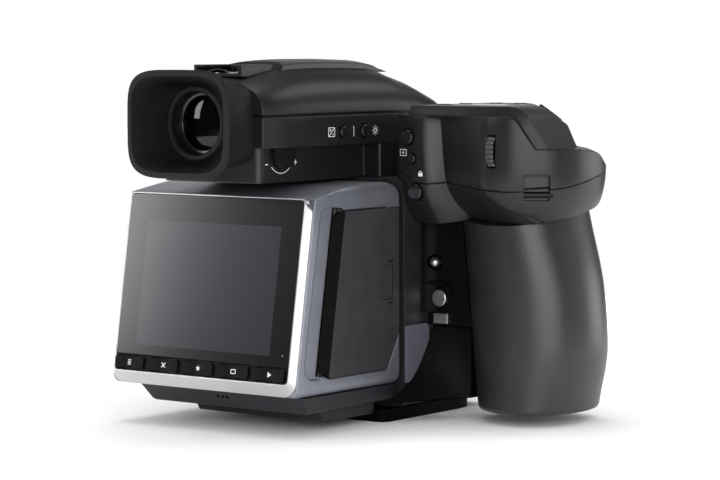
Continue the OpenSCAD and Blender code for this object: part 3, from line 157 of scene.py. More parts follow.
# %% [markdown]
# ## Paper under the object
# A round sheet of white paper carries the object. It is no bigger than the picture needs, because a wide
# white floor would shine back from every black side. In a studio, background lamps would light the far paper.
# A lift that grows with the distance from the object does their work. Close by, the paper keeps its shadow.
# Paper fibres are far finer than a picture dot, so they are drawn as coarse flocks to show at all.

# %% Paper that keeps the shadow
PAPER_R = 0.45
PAPER_SIDES = 64
FLOCK_MM = 2.5
LIFT_FAR = 0.45
LIFT_FROM = 0.10
LIFT_TO = 0.40
# The point that every lamp is aimed at, near the middle of the object.
AIM = mm(25, -25, 62)
UNDER_AIM = AIM * Vector((1, 1, 0))

paper_mesh = bpy.data.meshes.new("paper_sheet")
sheet = bmesh.new()
bmesh.ops.create_circle(sheet, cap_ends=True, segments=PAPER_SIDES, radius=PAPER_R)
sheet.to_mesh(paper_mesh)
sheet.free()
paper = bpy.data.objects.new("paper_sheet", paper_mesh)
scene.collection.objects.link(paper)

matt_paper = bpy.data.materials.new("matt_white_paper")
matt_paper.use_nodes = True
tree = matt_paper.node_tree
tree.nodes.clear()
place = add(tree, "TexCoord").outputs["Object"]
fibres = add(tree, "TexNoise", {"Vector": place, "Scale": 1 / (FLOCK_MM * MM), "Detail": 2.0})
tone = add(tree, "ValToRGB", {"Fac": fibres.outputs["Fac"]})
tone.color_ramp.elements[0].color = linear("#f2f2f1")
tone.color_ramp.elements[1].color = linear("#f6f6f6")
matt = add(tree, "BsdfDiffuse", {"Color": tone.outputs["Color"]})
away = add(tree, "VectorMath", {0: place, 1: UNDER_AIM}, operation="DISTANCE")
lift = add(tree, "MapRange", {"Value": away.outputs["Value"], "From Min": LIFT_FROM, "From Max": LIFT_TO,
                              "To Max": LIFT_FAR}, interpolation_type="SMOOTHSTEP")
ray = add(tree, "LightPath").outputs
looked = add(tree, "Math", {0: ray["Is Camera Ray"], 1: ray["Is Glossy Ray"]}, operation="MAXIMUM")
seen = add(tree, "Math", {0: lift.outputs["Result"], 1: looked.outputs[0]}, operation="MULTIPLY")
glow = add(tree, "Emission", {"Color": (1, 1, 1, 1), "Strength": seen.outputs[0]})
paper_sum = add(tree, "AddShader", {0: matt.outputs[0], 1: glow.outputs[0]})
add(tree, "OutputMaterial", {"Surface": paper_sum.outputs[0]})
paper_mesh.materials.append(matt_paper)
print("paper", PAPER_R * 2, "m across")

# %% [markdown]
# ## Softboxes
# Six soft lamps make the picture. A wide one beside the lens draws the long light on the round grip and
# fills the bright bevel of the screen. One far to the left slides a sheen over half of the screen glass.
# Three stand at the right, one before the object, one low and one high behind it, and the flat sides mirror
# them. One overhead lights the paper and the top faces. They are placed as a photographer would, by how far
# they stand to the right of, before and above the object.

# %% Softboxes round the object
# Metres to the right, before and above, metres wide and high, watts.
SOFTBOXES = {
    "front_softbox": (0.17, 1.26, 0.23, 1.00, 0.55, 8.6),
    "left_softbox": (-1.30, 0.01, 0.40, 0.50, 0.60, 6.0),
    "right_softbox": (1.24, 0.38, 0.23, 0.55, 0.50, 0.9),
    "low_softbox": (1.22, -0.44, 0.02, 0.50, 0.40, 3.0),
    "side_softbox": (0.86, -0.50, 0.84, 0.55, 0.50, 2.0),
    "top_softbox": (-0.10, -0.14, 1.10, 0.70, 0.55, 5.0),
}
lamps = {}
for name, (right, towards, above, wide, high, watts) in SOFTBOXES.items():
    light = bpy.data.lights.new(name, "AREA")
    light.shape = "RECTANGLE"
    light.size = wide
    light.size_y = high
    light.energy = watts
    lamp = bpy.data.objects.new(name, light)
    lamp.location = AIM + RIGHT * right + TOWARDS * towards + Vector((0, 0, above))
    lamp.rotation_euler = (AIM - lamp.location).to_track_quat("-Z", "Y").to_euler()
    scene.collection.objects.link(lamp)
    lamps[name] = lamp
    print(name, "radiance", round(watts / (pi * wide * high), 2))

# %% [markdown]
# ## A flag for the left lamp
# The left lamp is there for the glass. On the paper it would wash out the shadow, so a photographer would
# hold a black card, called a flag, between the two. Light linking does it without a card: the paper is left
# out of what this lamp lights.

# %% The paper flagged from the left lamp
flagged = bpy.data.collections.new("flagged")
flagged.objects.link(paper)
flagged.collection_objects[0].light_linking.link_state = "EXCLUDE"
lamps["left_softbox"].light_linking.receiver_collection = flagged

# %% [markdown]
# ## A recipe for moulded and coated skins
# Moulds are etched, so black plastic is never one colour: a fine grain breaks the light, and a slow change of
# tone shows where the melt flowed. The same two noises, at their own sizes, also serve paint and rubber.
# The grain is given in millimetres. Real mould grain is near 0.1 mm, finer than one picture dot (0.37 mm),
# so it is drawn a few times coarser to show at all. A bevel node bends the normal close to an edge, so that
# every corner shows the thread of light of a rounded one.

# %% Grained skin: two tones, a gloss, and sizes in millimetres
TONE_ENDS = (0.3, 0.7)
EDGE_RAYS = 6
finishes = {}


def skin(name, dark, light, rough, grain_mm, depth_mm,
         cloud_mm=9.0, rough_swing=0.06, edge_mm=0.3, **sockets):
    material = bpy.data.materials.new(name)
    material.use_nodes = True
    tree = material.node_tree
    shader = tree.nodes["Principled BSDF"]
    for socket, value in sockets.items():
        shader.inputs[socket.replace("_", " ")].default_value = value
    place = add(tree, "TexCoord").outputs["Object"]
    cloud = add(tree, "TexNoise", {"Vector": place, "Scale": 1 / (cloud_mm * MM), "Detail": 3.0})
    grain = add(tree, "TexNoise", {"Vector": place, "Scale": 1 / (grain_mm * MM), "Detail": 2.0})
    tone = add(tree, "ValToRGB", {"Fac": cloud.outputs["Fac"]})
    tone.color_ramp.elements[0].position = TONE_ENDS[0]
    tone.color_ramp.elements[1].position = TONE_ENDS[1]
    tone.color_ramp.elements[0].color = linear(dark)
    tone.color_ramp.elements[1].color = linear(light)
    gloss = add(tree, "MapRange", {"Value": grain.outputs["Fac"], "To Min": rough - rough_swing,
                                   "To Max": rough + rough_swing})
    edge = add(tree, "Bevel", {"Radius": edge_mm * MM}, samples=EDGE_RAYS)
    bump = add(tree, "Bump", {"Height": grain.outputs["Fac"], "Strength": 1.0, "Distance": depth_mm * MM,
                              "Normal": edge.outputs["Normal"]})
    tree.links.new(tone.outputs["Color"], shader.inputs["Base Color"])
    tree.links.new(gloss.outputs["Result"], shader.inputs["Roughness"])
    tree.links.new(bump.outputs["Normal"], shader.inputs["Normal"])
    finishes[name] = material


print("every edge is felt for with", EDGE_RAYS, "rays")

# %% [markdown]
# ## Black plastics and rubbers
# The finder and the grip head are glass-filled nylon from an etched mould: near black, half matt.
# The battery grip has a soft rubber skin with a visible grain, the eyecup is plain moulded rubber, almost
# without gloss, and the keys are silicone. The door and the buttons are smoother ABS, which shows a tighter
# light. Each finish is one line: two tones, a roughness, then the grain and its depth in millimetres.

# %% Black finishes
# Half matt, with a soft light along the edges.
skin("moulded_nylon", "#111212", "#161717", 0.42, 0.5, 0.010, edge_mm=0.8, IOR=1.52)
# A grain that can be seen, and one long light down the side.
skin("grip_rubber", "#1d1d1f", "#232326", 0.40, 0.65, 0.045, IOR=1.60)
# Dull and soft, with a pale rim at most.
skin("eyecup_rubber", "#101011", "#141415", 0.60, 0.6, 0.012, edge_mm=0.8, IOR=1.38)
# Matt keys that stay dark beside the glossy glass.
skin("silicone_key", "#0b0b0c", "#0f0f10", 0.52, 0.4, 0.006, IOR=1.20)
# Smooth and a shade lighter, so that the door stands out from the body.
skin("door_abs", "#2e2e31", "#343437", 0.36, 0.45, 0.008, edge_mm=0.6, IOR=1.5)
# Polished, with a small tight light on every button.
skin("button_abs", "#121213", "#171718", 0.24, 0.4, 0.003, edge_mm=0.4, IOR=1.55)
# Rough and black, so that slots and hollows stay dark.
skin("inner_nylon", "#0a0a0b", "#0d0d0e", 0.7, 0.6, 0.02, IOR=1.4)
# The lid of the grip head, a little flatter than its shells.
skin("panel_nylon", "#141415", "#191a1b", 0.44, 0.5, 0.010, IOR=1.46)
print(len(finishes), "black finishes")

# %% [markdown]
# ## Body, base and cells
# The body is cast light metal under a thick matt paint. The base plate is dyed black in its oxide layer, and
# is made darker still as painted shade. The skirt and the web behind the grip are matt nylon, darker than the
# other nylon as painted shade. The cells in the battery grip wear a shrunk film.

# %% Finishes of the body
# Paint that lies thick over a casting: dark grey, with a broad dull light.
skin("cast_paint", "#1a1b1d", "#202123", 0.48, 0.6, 0.02, IOR=1.5)
# Black anodising, made darker still as painted shade where the plate lies on the paper.
skin("anodised_and_shade", "#040404", "#060607", 0.60, 0.4, 0.006, IOR=1.12)
# Matt nylon darker than the rest, as painted shade between the grip and the body.
skin("shade_painted_nylon", "#080809", "#0b0b0c", 0.55, 0.5, 0.010, IOR=1.18)
# Thin film with a plain blue-grey sheen.
skin("cell_wrap", "#2a3a4d", "#31435a", 0.4, 1.0, 0.004, IOR=1.5)
print(len(finishes), "finishes so far")

# %% [markdown]
# ## Metals and metallic paints
# The housing of the sensor unit is milled aluminium under a metallic grey paint with a cool cast, in which
# tiny flakes sparkle. The side covers have a plainer grey. The lower cover has a darker grey, which is
# painted shade for a cover that lies in the shadow under the body. The screen frame is blasted and clear
# anodised.
# Bayonet, pins and catches are turned steel. The shoe, the wheels and the dial are steel that was darkened by
# plating or oxide.

# %% Metal finishes
# Flakes give a cool grey that turns pale where it meets a lamp.
skin("flake_paint", "#9799a4", "#a3a5b1", 0.42, 0.55, 0.012, cloud_mm=14, rough_swing=0.10, edge_mm=0.9,
     Metallic=0.85)
# Bright and soft, without a sharp reflection.
skin("anodised_aluminium", "#c9c9cb", "#d3d3d5", 0.36, 0.4, 0.004, cloud_mm=20, edge_mm=0.6, Metallic=1.0)
# Pale metal with the fine blur of a lathe.
skin("turned_steel", "#c4c5c7", "#d2d3d5", 0.36, 0.5, 0.003, Metallic=1.0)
# Nearly black, and still plainly metal at its edges.
skin("shoe_steel", "#1c1c1d", "#262627", 0.33, 0.5, 0.004, Metallic=0.7)
# Half bright, so that the knurls of a wheel stand apart.
skin("dark_chrome", "#7c7c7f", "#8a8a8d", 0.30, 0.5, 0.004, Metallic=1.0)
# Dark, with a thin light on each ridge.
skin("black_oxide", "#2a2a2b", "#323233", 0.30, 0.5, 0.004, Metallic=0.8)
# A plainer paint beside the housing, and a darker one as painted shade on the lower cover.
skin("grey_paint", "#5c5d66", "#666771", 0.46, 0.55, 0.012, cloud_mm=14, Metallic=0.25)
skin("shaded_cover_paint", "#222327", "#28292e", 0.44, 0.55, 0.012, cloud_mm=14, Metallic=0.3)
print("metals added,", len(finishes), "finishes")

# %% [markdown]
# ## Screen glass
# The screen is one sheet of hardened glass, printed black on its back round a window, with the dark display
# behind the window. Modelling the layers would only make light bounce inside, so the sheet is a dark gloss
# with the window drawn at its true place. A faint blur stands for the anti-glare coat and spreads the lamp.

# %% Glass with a display behind it
SCREEN_AT = mm(0, -88, 51)
SCREEN_TILT = radians(9.3)
ACROSS = Vector((1, 0, 0))
WINDOW_HALF = {"X": 30.9, "Z": 21.4}
WINDOW_BLUR = 0.15

skin("printed_glass", "#08080a", "#0a0a0b", 0.15, 0.5, 0.0, cloud_mm=30, rough_swing=0.01, IOR=1.62)
tree = finishes["printed_glass"].node_tree
shader = tree.nodes["Principled BSDF"]
place = add(tree, "TexCoord").outputs["Object"]
upright = add(tree, "VectorRotate", {"Vector": place, "Center": SCREEN_AT, "Axis": ACROSS,
                                     "Angle": -SCREEN_TILT}, rotation_type="AXIS_ANGLE")
centred = add(tree, "VectorMath", {0: upright.outputs[0], 1: SCREEN_AT}, operation="SUBTRACT")
parts = add(tree, "SeparateXYZ", {0: centred.outputs[0]})
inside = []
for axis, half in WINDOW_HALF.items():
    far = add(tree, "Math", {0: parts.outputs[axis]}, operation="ABSOLUTE")
    inside.append(add(tree, "MapRange", {"Value": far.outputs[0], "From Min": (half + WINDOW_BLUR) * MM,
                                         "From Max": (half - WINDOW_BLUR) * MM}).outputs["Result"])
window = add(tree, "Math", {0: inside[0], 1: inside[1]}, operation="MULTIPLY")
tint = add(tree, "Mix", {"Factor": window.outputs[0], "B": linear("#26282e")}, data_type="RGBA")
tree.links.new(shader.inputs["Base Color"].links[0].from_socket, tint.inputs["A"])
tree.links.new(tint.outputs["Result"], shader.inputs["Base Color"])
print("window", [2 * half for half in WINDOW_HALF.values()], "mm")

# %% [markdown]
# ## Clear glass, mirror and displays
# The eyepiece is coated optical glass, which passes nearly all light and throws back a small glint. The
# reflex mirror is silver on its face, both displays are dark under a polariser, and the sensor is a silicon
# die under a green-violet filter. The focusing screen is ground, and the flash window is moulded acrylic.

# %% Optical finishes
# Clear, with one small glint.
skin("coated_glass", "#2a2c33", "#303239", 0.04, 3.0, 0.0, rough_swing=0.0, IOR=1.40, Transmission_Weight=1.0)
# A true mirror.
skin("front_silver", "#e4e7ea", "#eef0f2", 0.04, 2.0, 0.0, rough_swing=0.01, Metallic=1.0)
# Smooth, grey and a little green.
skin("status_glass", "#3a3e3c", "#404442", 0.18, 0.5, 0.0005, IOR=1.5)
# Green that drifts to violet across the die.
skin("silicon_filter", "#1d3230", "#2a2440", 0.12, 6.0, 0.0, cloud_mm=40, IOR=1.6, Metallic=0.3)
# Pale, and too rough to mirror anything.
skin("ground_glass", "#b9bebf", "#c4c8c9", 0.55, 0.3, 0.01, IOR=1.5)
# Pale, with a ripple that spreads the flash.
skin("flash_lens", "#cfd3d4", "#dfe2e3", 0.3, 0.8, 0.05, IOR=1.49)
print(len(finishes), "finishes with the glasses")

# %% [markdown]
# ## Inks
# Signs are pad printed in an off-white ink that dries matt. The small display on the deck shows its segments
# as near-black marks under its glass.

# %% White ink and dark segments
# Off-white and matt, so that a sign reads from any side.
skin("sign_white", "#d9d9d9", "#e4e4e4", 0.6, 0.3, 0.002, IOR=1.5)
# Near black on the grey of the display.
skin("segment_ink", "#101211", "#141615", 0.4, 0.3, 0.0, IOR=1.5)
print(len(finishes), "finishes in all")

# %% [markdown]
# ## Which piece has which finish
# Each solid piece of the CAD model gets one finish. The list is long but plain: it is the parts list of the
# camera, sorted by what the parts are made of.

# %% Finishes onto the solid pieces
# The darker finishes of the lower cover, the base plate, the skirt and the web are painted shade.
WEARS = {
    "flake_paint": "back_housing",
    "shaded_cover_paint": "back_lower_cover",
    "grey_paint": "side_covers",
    "black_oxide": "door_pin dioptre_dial",
    "anodised_aluminium": "screen_frame",
    "moulded_nylon": "finder_hood finder_base grip_upper_shell grip_lower_shell flash_head",
    "shade_painted_nylon": "grip_skirt grip_web",
    "panel_nylon": "top_panel",
    "grip_rubber": "battery_grip",
    "eyecup_rubber": "eyecup",
    "silicone_key": "key_strip menu_key cross_key star_key ring_key play_key",
    "door_abs": "card_door latch_strip",
    "button_abs": "shutter_button power_button menu_button drive_button iso_button "
                  "focus_button focus_point_button exposure_lock_button band_rear_button band_front_button "
                  "lens_release_button eyepiece_ring",
    "dark_chrome": "front_wheel rear_wheel",
    "inner_nylon": "card_slots interface_plate roof_prism",
    "cast_paint": "body_chassis front_plate",
    "anodised_and_shade": "base_plate",
    "cell_wrap": "battery_cells",
    "turned_steel": "lens_mount_ring lens_lock_pin back_release_button safety_catch battery_lock_button",
    "shoe_steel": "hot_shoe strap_lugs",
    "printed_glass": "screen_glass",
    "coated_glass": "eyepiece_lens",
    "front_silver": "reflex_mirror",
    "status_glass": "status_display screen_panel",
    "silicon_filter": "image_sensor",
    "ground_glass": "focusing_screen",
    "flash_lens": "flash_window",
}
dressed = set()
for finish, names in WEARS.items():
    for name in names.split():
        nodes[name].data.materials.clear()
        nodes[name].data.materials.append(finishes[finish])
        dressed.add(name)
print("without a finish:", sorted(set(nodes) - dressed))

# %% [markdown]
# ## Painted shade on the card door
# The door is grey ABS. Its bevel and its sides are given the black of the skirt as painted shade that darkens
# them.
# Faces that look straight to the side keep the grey, and all others take the painted shade.

# %% Painted shade on the door's bevel and sides
STRAIGHT = 0.98
door = nodes["card_door"].data
# The skirt's black on the door's bevel and sides is painted shade.
door.materials.append(finishes["shade_painted_nylon"])
for face in door.polygons:
    face.material_index = int(face.normal.dot(ACROSS) < STRAIGHT)
painted_shade_faces = sum(face.material_index for face in door.polygons)
print("black faces on the door:", painted_shade_faces, "of", len(door.polygons))

# %% [markdown]
# ## The dull inside of the eyecup
# The funnel of an eyecup is blasted in the mould so that no light from the side reaches the eye. It is the
# same piece of rubber as the outside, so the one finish loses its sheen where the surface looks at the
# optical axis. A second material would end in a ragged line along the facets.

# %% Sheen that fades inside the eyecup
EYE_AT = Vector((0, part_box("eyecup")[1].y, middle("eyepiece_ring").z))
INWARD = (0.15, 0.75)
BLASTED_IOR = 1.12
tree = finishes["eyecup_rubber"].node_tree
shader = tree.nodes["Principled BSDF"]
outer_ior = shader.inputs["IOR"].default_value
here = add(tree, "TexCoord").outputs
to_axis = add(tree, "VectorMath", {0: EYE_AT, 1: here["Object"]}, operation="SUBTRACT")
level = add(tree, "VectorMath", {0: to_axis.outputs[0], 1: (1, 0, 1)}, operation="MULTIPLY")
inward = add(tree, "VectorMath", {0: level.outputs[0]}, operation="NORMALIZE")
facing = add(tree, "VectorMath", {0: inward.outputs[0], 1: here["Normal"]}, operation="DOT_PRODUCT")
blasted = add(tree, "MapRange", {"Value": facing.outputs["Value"], "From Min": INWARD[0],
                                 "From Max": INWARD[1], "To Min": outer_ior, "To Max": BLASTED_IOR})
tree.links.new(blasted.outputs["Result"], shader.inputs["IOR"])
print("eyecup blasted where it faces the axis by", INWARD)

# %% [markdown]
# ## Smooth shading
# A CAD mesh is made of flat facets. Normals that are averaged across a low edge make a round surface look
# round, while across a real corner they must stay apart. The meshes stay as the CAD made them: a few geometry
# nodes in a modifier join the facets and shade them smoothly where they meet at a low angle. The door and the
# housing have low bevels that should stay crisp, so their angle is smaller.

# %% Smooth under an angle, in degrees
SMOOTH_UNDER = 28
CRISP_UNDER = 12
CRISP = ("card_door", "back_housing")
JOIN_MM = 0.002


def smooth_group(under):
    group = bpy.data.node_groups.new("smooth_under_%d" % under, "GeometryNodeTree")
    group.interface.new_socket("Geometry", in_out="INPUT", socket_type="NodeSocketGeometry")
    group.interface.new_socket("Geometry", in_out="OUTPUT", socket_type="NodeSocketGeometry")
    start = group.nodes.new("NodeGroupInput")
    bare = group.nodes.new("GeometryNodeRemoveAttribute")
    bare.inputs["Name"].default_value = "custom_normal"
    joined = group.nodes.new("GeometryNodeMergeByDistance")
    joined.inputs["Distance"].default_value = JOIN_MM * MM
    angle = group.nodes.new("GeometryNodeInputMeshEdgeAngle")
    low = group.nodes.new("FunctionNodeCompare")
    low.operation = "LESS_THAN"
    low.inputs["B"].default_value = radians(under)
    faces = group.nodes.new("GeometryNodeSetShadeSmooth")
    edges = group.nodes.new("GeometryNodeSetShadeSmooth")
    edges.domain = "EDGE"
    end = group.nodes.new("NodeGroupOutput")
    link = group.links.new
    link(start.outputs[0], bare.inputs["Geometry"])
    link(bare.outputs[0], joined.inputs["Geometry"])
    link(joined.outputs[0], faces.inputs["Geometry"])
    link(faces.outputs[0], edges.inputs["Geometry"])
    link(angle.outputs["Unsigned Angle"], low.inputs["A"])
    link(low.outputs[0], edges.inputs["Shade Smooth"])
    link(edges.outputs[0], end.inputs[0])
    return group


groups = {under: smooth_group(under) for under in (SMOOTH_UNDER, CRISP_UNDER)}
print("smooth under", list(groups), "degrees")

# %% [markdown]
# ## Soft edges
# Moulded and milled pieces have no knife edges: every corner is a small round that catches a thread of light.
# A bevel modifier rounds what is still sharp, for each piece as wide as its making leaves it, and hardens the
# normals so that flat faces stay flat.

# %% Bevels by modifier
FINE_EDGE_MM = 0.12
EDGE_STEPS = 2
EDGE_MM = {
    "back_housing": 0.8, "screen_frame": 0.25, "card_door": 0.4, "finder_base": 0.5, "finder_hood": 0.3,
    "battery_grip": 0.8, "eyecup": 0.0, "grip_upper_shell": 0.25, "grip_lower_shell": 0.25, "top_panel": 1.6,
    "body_chassis": 0.4, "front_plate": 0.6, "base_plate": 0.6, "grip_skirt": 0.4, "grip_web": 0.3,
    "back_lower_cover": 0.5, "eyepiece_ring": 0.45, "focus_button": 0.3, "focus_point_button": 0.25,
    "exposure_lock_button": 0.3, "band_rear_button": 0.3, "band_front_button": 0.3,
    "back_release_button": 0.35, "flash_head": 0.35, "shutter_button": 0.4, "hot_shoe": 0.2,
    "eyepiece_lens": 0.0, "roof_prism": 0.0, "reflex_mirror": 0.0, "battery_cells": 0.3,
}


def soften(piece, width_mm):
    under = CRISP_UNDER if piece.name in CRISP else SMOOTH_UNDER
    piece.modifiers.new("smooth", "NODES").node_group = groups[under]
    if width_mm:
        bevel = piece.modifiers.new("edge", "BEVEL")
        bevel.width = width_mm * MM
        bevel.segments = EDGE_STEPS
        bevel.limit_method = "ANGLE"
        bevel.angle_limit = radians(under)
        bevel.harden_normals = True


for name, piece in nodes.items():
    soften(piece, EDGE_MM.get(name, FINE_EDGE_MM))
print("edges softened on", len(nodes), "pieces")

# %% [markdown]
# ## Printed signs
# White signs are pad printed: a film of ink a few hundredths of a millimetre thick that follows the surface.
# A flat decal would float over the dished keys, so each sign is drawn as polygons in millimetres, every
# corner is dropped onto the piece that carries it, and the outline is given the thickness of the ink.

# %% A sign dropped onto its carrier
INK_MM = 0.05
SINK_MM = 0.08
REACH_MM = 6.0
INK_WELD_MM = 0.004


def placed(name, shape, body, finish):
    mesh = bpy.data.meshes.new(name)
    shape.to_mesh(mesh)
    shape.free()
    mesh.materials.append(finishes[finish])
    piece = bpy.data.objects.new(name, mesh)
    scene.collection.objects.link(piece)
    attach(piece, body)
    return piece


def raised(shape, faces, step):
    lifted = bmesh.ops.extrude_face_region(shape, geom=faces)["geom"]
    bmesh.ops.translate(shape, verts=[g for g in lifted if isinstance(g, bmesh.types.BMVert)], vec=step)
    bmesh.ops.recalc_face_normals(shape, faces=shape.faces[:])


def printed(name, carrier, body, shapes, centre, right, up, finish="sign_white"):
    out = right.cross(up).normalized()
    mesh = nodes[carrier].data
    skin_tree = BVHTree.FromPolygons([v.co for v in mesh.vertices], [p.vertices for p in mesh.polygons])
    ink = bmesh.new()
    for shape in shapes:
        corners = []
        for u, v in shape:
            start = centre + (right * u + up * v + out * REACH_MM) * MM
            hit = skin_tree.ray_cast(start, -out, 2 * REACH_MM * MM)[0]
            corners.append(ink.verts.new((hit or start - out * REACH_MM * MM) - out * SINK_MM * MM))
        ink.faces.new(corners)
    bmesh.ops.remove_doubles(ink, verts=ink.verts, dist=INK_WELD_MM * MM)
    raised(ink, ink.faces[:], out * (INK_MM + SINK_MM) * MM)
    placed(name, ink, body, finish)


print("ink stands", INK_MM, "mm proud")

# %% [markdown]
# ## Shapes that signs are made of
# A few plain shapes are enough for every sign: bars, strokes with a width, bands between two outlines, arcs
# and rounded frames. Each helper gives corner points in millimetres round the middle of the sign.

# %% Bars, strokes, bands and frames
CORNER_STEPS = 4


def bar(u0, v0, u1, v1):
    return [(u0, v0), (u1, v0), (u1, v1), (u0, v1)]


def stroke(a, b, wide):
    run = Vector(b) - Vector(a)
    side = Vector((-run.y, run.x)).normalized() * wide / 2
    return [tuple(Vector(p) + s) for p, s in ((a, -side), (b, -side), (b, side), (a, side))]


def band_between(outer, inner, closed=True):
    count = len(outer) if closed else len(outer) - 1
    pick = [(k, (k + 1) % len(outer)) for k in range(count)]
    return [[outer[i], outer[j], inner[j], inner[i]] for i, j in pick]


def round_points(r, first=0.0, last=360.0, steps=24, at=(0, 0)):
    turns = [radians(first + (last - first) * k / steps) for k in range(steps + (last - first < 360))]
    return [(at[0] + r * cos(t), at[1] + r * sin(t)) for t in turns]


def soft_rect(half_u, half_v, r):
    points = []
    for k, (su, sv) in enumerate(((1, 1), (-1, 1), (-1, -1), (1, -1))):
        corner = (su * (half_u - r), sv * (half_v - r))
        points += round_points(r, 90 * k, 90 * k + 90, CORNER_STEPS, corner)
    return points


print("a rounded frame has", len(soft_rect(1, 1, 0.2)), "points")

# %% [markdown]
# ## Signs on the five keys
# The keys under the screen carry plain signs: lines for a menu, a cross, a star, a rounded frame and a
# triangle. They stand on the slope of the screen, so their places are given across and up that slope.

# %% Key signs
SCREEN_UP = Vector((0, sin(SCREEN_TILT), cos(SCREEN_TILT)))
KEY_V = -29.15
STAR_R = (1.15, 0.46)


def on_screen(u, v):
    return SCREEN_AT + (ACROSS * u + SCREEN_UP * v) * MM


star = [(STAR_R[k % 2] * sin(k * pi / 5), STAR_R[k % 2] * cos(k * pi / 5)) for k in range(10)]
KEY_SIGNS = {
    "menu_key": [bar(-0.75, v - 0.13, 0.75, v + 0.13) for v in (-0.8, -0.27, 0.27, 0.8)],
    "cross_key": [stroke((-0.85, -0.85), (0.85, 0.85), 0.34), stroke((-0.85, 0.85), (-0.13, 0.13), 0.34),
                  stroke((0.13, -0.13), (0.85, -0.85), 0.34)],
    "star_key": [[(0, 0), star[k - 1], star[k], star[k + 1]] for k in range(0, 10, 2)],
    "ring_key": band_between(soft_rect(1.15, 0.85, 0.4), soft_rect(0.85, 0.52, 0.2)),
    "play_key": [[(-0.7, -0.95), (0.95, 0.0), (-0.7, 0.95)]],
}
for key, shapes in KEY_SIGNS.items():
    printed(key + "_sign", key, key, shapes, on_screen(middle(key).x / MM, KEY_V), ACROSS, SCREEN_UP)
print(len(KEY_SIGNS), "key signs")

# %% [markdown]
# ## Signs on the finder and the head
# Beside the buttons are a plus and minus in a frame, a sun, a focus frame and a padlock, and under the
# dioptre dial an arc from minus to plus. They are the plain signs of any camera.

# %% Finder and head signs
UP = Vector((0, 0, 1))
FORE = Vector((0, 1, 0))
# From the middle of a button to the sign beside it.
BESIDE = 6.6
SUN_BESIDE = 6.4
REAR_BUTTON = middle("band_rear_button")
FRONT_BUTTON = middle("band_front_button")


def plus(at, arm, wide):
    return [stroke((at[0] - arm, at[1]), (at[0] + arm, at[1]), wide),
            stroke((at[0], at[1] + wide / 2), (at[0], at[1] + arm), wide),
            stroke((at[0], at[1] - arm), (at[0], at[1] - wide / 2), wide)]


frame_sign = band_between(soft_rect(1.9, 1.7, 0.2), soft_rect(1.65, 1.45, 0.1))
frame_sign += [stroke((-1.5, -1.4), (1.5, 1.4), 0.25), stroke((0.35, -0.8), (1.25, -0.8), 0.28)]
frame_sign += plus((-0.75, 0.65), 0.5, 0.28)
printed("compensation_sign", "finder_base", "finder", frame_sign, REAR_BUTTON - mm(0, BESIDE, 0), FORE, UP)

sun_sign = band_between(round_points(0.95), round_points(0.62))
sun_sign += [stroke((1.3 * cos(t), 1.3 * sin(t)), (1.8 * cos(t), 1.8 * sin(t)), 0.26)
             for t in (k * pi / 4 for k in range(8))]
printed("sun_sign", "finder_base", "finder", sun_sign, FRONT_BUTTON + mm(0, SUN_BESIDE, 0), FORE, UP)
tick = [bar(-0.12, -1.9, 0.12, 1.9)]
printed("band_tick", "finder_base", "finder", tick, FRONT_BUTTON - mm(0, BESIDE, 0), FORE, UP)

arc = band_between(round_points(7.4, 222, 318, 16), round_points(7.1, 222, 318, 16), closed=False)
arc += [stroke((-8.9, -3.9), (-7.3, -3.9), 0.35)] + plus((8.1, -3.6), 0.85, 0.35)
printed("dioptre_sign", "finder_base", "finder", arc, middle("dioptre_dial"), FORE, UP)

focus_sign = band_between(soft_rect(1.7, 1.25, 0.2), soft_rect(1.45, 1.0, 0.1)) + plus((0, 0), 0.6, 0.25)
at = middle("focus_point_button") + mm(-4.3, 0, 2.0)
printed("focus_point_sign", "grip_upper_shell", "camera_body", focus_sign, at, ACROSS, UP)
shackle = (round_points(0.75, 0, 180, 10, (0, 0.3)), round_points(0.5, 0, 180, 10, (0, 0.3)))
lock_sign = [bar(-1.0, -1.0, 1.0, 0.3)] + band_between(*shackle, closed=False)
at = middle("exposure_lock_button") + mm(2.7, 0, 6.7)
printed("lock_sign", "grip_upper_shell", "camera_body", lock_sign, at, ACROSS, UP)
print("finder and head signs printed")

# %% [markdown]
# ## Signs on the deck
# The buttons on the deck carry a power ring, menu lines, a stack of frames and a dot, and the small display
# shows a battery and a scale. They lie flat to the lens in this picture, but the owner looks at them.

# %% Deck signs


def shifted(shapes, du, dv):
    return [[(u + du, v + dv) for u, v in shape] for shape in shapes]


power_sign = band_between(round_points(1.1, 125, 415, 20), round_points(0.85, 125, 415, 20), closed=False)
power_sign += [bar(-0.13, 0.3, 0.13, 1.35)]
stack_sign = band_between(soft_rect(1.0, 0.7, 0.15), soft_rect(0.78, 0.48, 0.08))
stack_sign += [bar(-0.6, 0.95, 1.35, 1.15)]
DECK_SIGNS = {
    "power_button": power_sign,
    "menu_button": [bar(-0.9, v - 0.12, 0.9, v + 0.12) for v in (-0.7, 0, 0.7)],
    "drive_button": stack_sign,
    "iso_button": [round_points(0.4, steps=12)],
}
for button, shapes in DECK_SIGNS.items():
    printed(button + "_sign", button, button, shapes, middle(button), ACROSS, FORE)
battery = band_between(soft_rect(2.4, 1.2, 0.2), soft_rect(2.15, 0.95, 0.1)) + [bar(2.4, -0.5, 2.8, 0.5)]
battery += [bar(u - 0.5, -0.65, u + 0.5, 0.65) for u in (-1.35, 0, 1.35)]
scale = [bar(u - 0.12, -0.4, u + 0.12, 1.1 if u == 0 else 0.5) for u in range(-7, 8)]
printed("display_segments", "status_display", "camera_body", shifted(battery, 6, 6) + shifted(scale, 0, -6),
        middle("status_display"), ACROSS, FORE, "segment_ink")
print(len(DECK_SIGNS), "deck signs")

# %% [markdown]
# ## Turned fittings
# Screws, contacts and beads are turned on a lathe: a profile spun round an axis. One function spins it.
# A profile that begins and ends on the axis gives a closed head, while a loop gives a ring.

# %% A profile spun round an axis
LATHE_STEPS = 40
LATHE_WELD_MM = 0.001


